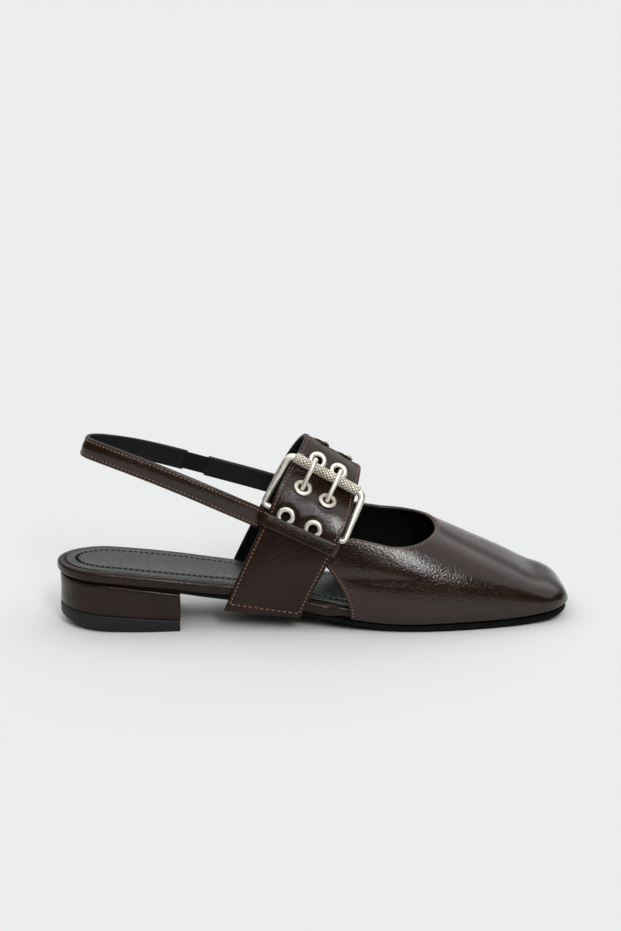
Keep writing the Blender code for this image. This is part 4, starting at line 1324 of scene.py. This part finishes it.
def build_prong(name, surface, sideways, pivot_along, pivot_height, metal):
    """A prong hooked under the frame's lower bar, up through an eyelet and over the thick bar."""
    hook_radius = FRAME_RADIUS + GAP + PRONG_RADIUS
    over_bar = STRAP_THICKNESS / 2 + GAP + 2 * BAR_RADIUS + GAP + PRONG_RADIUS
    hole_along = surface.prong_row
    # Route: place along the strap, height over its middle surface
    route = []
    for angle in np.radians(np.linspace(180, 275, 5)):
        along = pivot_along + hook_radius * math.cos(angle)
        route.append((along, pivot_height + hook_radius * math.sin(angle)))
    route += [
        (hole_along - 3.0, -STRAP_THICKNESS / 2 - GAP - PRONG_RADIUS - 0.6),
        (hole_along - 0.8, -STRAP_THICKNESS / 2 - 0.3),
        (hole_along - 0.2, STRAP_THICKNESS / 2 + 0.6),
        (hole_along + 1.4, STRAP_THICKNESS / 2 + 3.1),
        (surface.bar - 1.0, over_bar),
        (surface.bar + PRONG_PAST_BAR, over_bar - 0.4),
    ]
    path = spline_through([surface.point(along, sideways, height) for along, height in route], 9)
    lengths = lengths_along(path)
    to_tip = lengths[-1] - lengths
    radii = PRONG_RADIUS * np.sqrt(1 - (1 - np.clip(to_tip / PRONG_TIP, 0.02, 1)) ** 2)
    sides = 18
    points = tube_points(path, radii, sides)
    faces = capped(loft_faces(len(path), sides), len(path), sides)
    settle(add_object(f"{name}_pin", points, faces, [metal]), "metal_nickel", name)


def build_sling(looks):
    """Heel strap in three pieces: the long stitched strap, the woven elastic and the short inner tab."""
    dense = eased(spline_through(SLING, SLING_STEPS), SLING_EASE)
    lengths = lengths_along(dense)
    half_way = np.argmin(dense[:, 0])
    cuts = [np.interp(x, dense[half_way:, 0], lengths[half_way:]) for x in (ELASTIC_REAR, ELASTIC_FRONT)]
    up = np.array([math.sin(SLING_PITCH), 0, math.cos(SLING_PITCH)])

    def ribbon(name, first, last, width, thickness, relief, finishes, step):
        turn = thickness / 2
        run = graded(last - first, step, turn)
        centres = along_path(dense, lengths, first + run)
        ahead = unit(np.gradient(centres, axis=0))
        across = unit(up - ahead * (ahead @ up)[:, None])
        places = graded(width, NARROW_STEP, turn) - width / 2
        mid = centres[:, None] + across[:, None] * places[:, None]
        normals = np.broadcast_to(np.cross(across, ahead)[:, None], mid.shape)
        from_end = np.minimum(run, last - first - run)[:, None]
        from_side = width / 2 - np.abs(places)
        lift = relief(run[:, None], places)
        made, outer = skin(name, mid, normals, turn, from_end, from_side, lift, finishes)
        inside = np.linspace(1.2, last - first - 1.2, 500)
        lines = [np.full(500, side * (width / 2 - SLING_STITCH)) for side in (-1, 1)]
        return made, [on_sheet(outer, normals, run, places, inside, line) for line in lines]

    def leather(name, first, last):
        finishes = [looks["leather"], looks["lining"], looks["edge"]]
        return ribbon(name, first, last, SLING_WIDTH, SLING_THICKNESS, strap_relief, finishes, SKIN_STEP)

    def strap_relief(run, places):
        from_side = SLING_WIDTH / 2 - np.abs(places)
        crown = SLING_PUFF * smoothstep(SLING_STITCH, SLING_WIDTH / 2, from_side)
        return crown - GROOVE_DEPTH * hump(from_side - SLING_STITCH, GROOVE_WIDTH)

    def weave_relief(run, places):
        ribs = RIB_HEIGHT * np.abs(np.sin(math.pi * places / RIB_PITCH))
        return ribs + YARN_HEIGHT * np.sin(2 * math.pi * run / YARN_PITCH)

    strap, strap_rows = leather("sling_leather", 0, cuts[0])
    settle(strap, "leather_brown", "sling_strap")
    sizes = (cuts[0] - ELASTIC_TUCK, cuts[1] + ELASTIC_TUCK, ELASTIC_WIDTH, ELASTIC_THICKNESS)
    band, _ = ribbon("sling_weave", *sizes, weave_relief, [looks["elastic"]] * 3, WEAVE_STEP)
    settle(band, "elastic_black", "sling_elastic")
    tab, tab_rows = leather("tab_leather", cuts[1] + GAP, lengths[-1])
    settle(tab, "leather_brown", "sling_tab")
    sew(looks, "sling_stitching", strap_rows + tab_rows)


def build_stage():
    """Pale floor, soft lights above, behind and in front, keys for the gleams, and the camera."""
    reach = 30.0
    corners = [(-reach, -reach, 0), (reach, -reach, 0), (reach, reach, 0), (-reach, reach, 0)]
    mesh = bpy.data.meshes.new("floor")
    mesh.from_pydata(corners, [], [(0, 1, 2, 3)])
    floor = bpy.data.objects.new("floor", mesh)
    bpy.context.scene.collection.objects.link(floor)
    dull = {"Roughness": 0.9, "Specular IOR Level": 0.1}
    paper, _, _ = principled("pale_floor", (0.700, 0.710, 0.705), dull)
    mesh.materials.append(paper)

    # Suns: strength, width of the lit disc of sky in degrees, direction towards it
    suns = (
        ("overhead", 2.5, 116.0, (0.05, 0.15, 1.0)),
        ("back_fill", 0.56, 110.0, (0.05, 1.0, 0.35)),
        ("front_fill", 0.2, 44.0, (0.12, -0.74, 0.66)),
        ("key_low", 0.2, 11.0, (0.185, -0.871, 0.454)),
        ("key_middle", 0.7, 12.0, (0.189, -0.787, 0.588)),
        ("key_high", 0.26, 12.0, (0.199, -0.652, 0.731)),
        ("strap_key", 0.28, 22.0, (-0.215, -0.801, 0.559)),
    )
    for name, strength, width, towards in suns:
        light = bpy.data.lights.new(name, "SUN")
        light.energy = strength
        light.angle = math.radians(width)
        lamp = bpy.data.objects.new(name, light)
        lamp.rotation_mode = "QUATERNION"
        lamp.rotation_quaternion = Vector(towards).to_track_quat("Z", "Y")
        bpy.context.scene.collection.objects.link(lamp)

    world = bpy.data.worlds.new("studio")
    bpy.context.scene.world = world
    world.use_nodes = True
    backdrop = world.node_tree.nodes["Background"]
    backdrop.inputs["Color"].default_value = (0.03, 0.031, 0.031, 1.0)
    backdrop.inputs["Strength"].default_value = 1.0

    scene = bpy.context.scene
    scene.view_settings.view_transform = "Standard"
    azimuth = math.radians(-5.0)
    elevation = math.radians(17.0)
    distance = 1.2
    target = Vector((0.0, 0.0, 0.035))
    picture_width = 621
    picture_height = 931
    focal_pixels = 2447.0
    target_pixel = (313.2, 543.7)
    level = math.cos(elevation)
    back = Vector((math.sin(azimuth) * level, -math.cos(azimuth) * level, math.sin(elevation)))
    lens = bpy.data.cameras.new("camera")
    lens.sensor_width = 36.0
    lens.lens = lens.sensor_width * focal_pixels / picture_height
    lens.shift_x = (picture_width / 2 - target_pixel[0]) / picture_height
    lens.shift_y = (target_pixel[1] - picture_height / 2) / picture_height
    lens.clip_end = 100.0
    camera = bpy.data.objects.new("camera", lens)
    camera.location = target + back * distance
    camera.rotation_mode = "QUATERNION"
    camera.rotation_quaternion = (-back).to_track_quat("-Z", "Y")
    scene.collection.objects.link(camera)
    scene.camera = camera


def make_looks():
    """Each material by its use: dark and light tone, smooth and rough end, and its maker's other numbers."""
    return {
        "leather": leather_material(
            "brown_leather", (0.013, 0.0062, 0.0041), (0.023, 0.0100, 0.0064), 0.1, 0.18, 1.0
        ),
        "side_leather": leather_material(
            "brown_side_leather", (0.012, 0.0060, 0.0040), (0.020, 0.0092, 0.0060), 0.2, 0.3, 1.0, 0.24
        ),
        "edge": leather_material(
            "edge_paint", (0.008, 0.0045, 0.0038), (0.013, 0.0075, 0.006), 0.35, 0.5, 0.6
        ),
        "lining": lining_material(
            "black_lining", (0.0045, 0.0048, 0.0048), (0.008, 0.0085, 0.0085), 0.38, 0.52, 0.18
        ),
        "sock": lining_material(
            "black_sock", (0.013, 0.0175, 0.0155), (0.024, 0.031, 0.0275), 0.26, 0.46, 0.5
        ),
        # Black rubber, darkened well past the heel's: partly its own black, partly painted shade under the
        # upper's edge
        "sole": rubber_material(
            "black_sole", (0.0016, 0.0016, 0.0018), (0.004, 0.004, 0.0043), 0.5, 0.7, 1.0, 0.08
        ),
        "rubber": rubber_material(
            "black_rubber", (0.007, 0.0078, 0.0082), (0.012, 0.013, 0.0135), 0.42, 0.58, 0.4
        ),
        "metal": metal_material("pale_nickel", (0.68, 0.63, 0.54), (0.87, 0.83, 0.74), 0.36, 0.5),
        "groove_metal": metal_material("darker_groove_nickel", (0.16, 0.14, 0.11), (0.26, 0.235, 0.19), 0.35, 0.5),
        "thread": thread_material("rust_thread", (0.105, 0.044, 0.026), (0.25, 0.108, 0.060)),
        "dark_thread": rubber_material(
            "black_thread", (0.002, 0.002, 0.002), (0.004, 0.004, 0.004), 0.7, 0.8, 0.2, 0.1
        ),
        # Near-black painted shade for the needle holes and the insides of the eyelets
        "hole": rubber_material("painted_hole_shade", (0.003, 0.002, 0.002), (0.005, 0.0035, 0.003), 0.7, 0.8, 0.2),
        "elastic": woven_material("black_elastic", (0.0015, 0.0015, 0.0017), (0.009, 0.009, 0.0095)),
    }


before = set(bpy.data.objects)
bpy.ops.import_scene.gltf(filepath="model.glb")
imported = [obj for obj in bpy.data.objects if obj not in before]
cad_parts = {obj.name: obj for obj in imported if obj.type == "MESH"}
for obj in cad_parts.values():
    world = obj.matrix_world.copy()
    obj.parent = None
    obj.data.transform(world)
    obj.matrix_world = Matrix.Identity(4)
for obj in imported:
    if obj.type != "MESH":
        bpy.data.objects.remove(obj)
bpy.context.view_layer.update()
looks = make_looks()
build_sole(looks)
build_heel(looks)
build_upper(looks)
surface = StrapSurface()
build_strap(surface, looks)
build_buckle(surface, looks)
build_sling(looks)
build_stage()
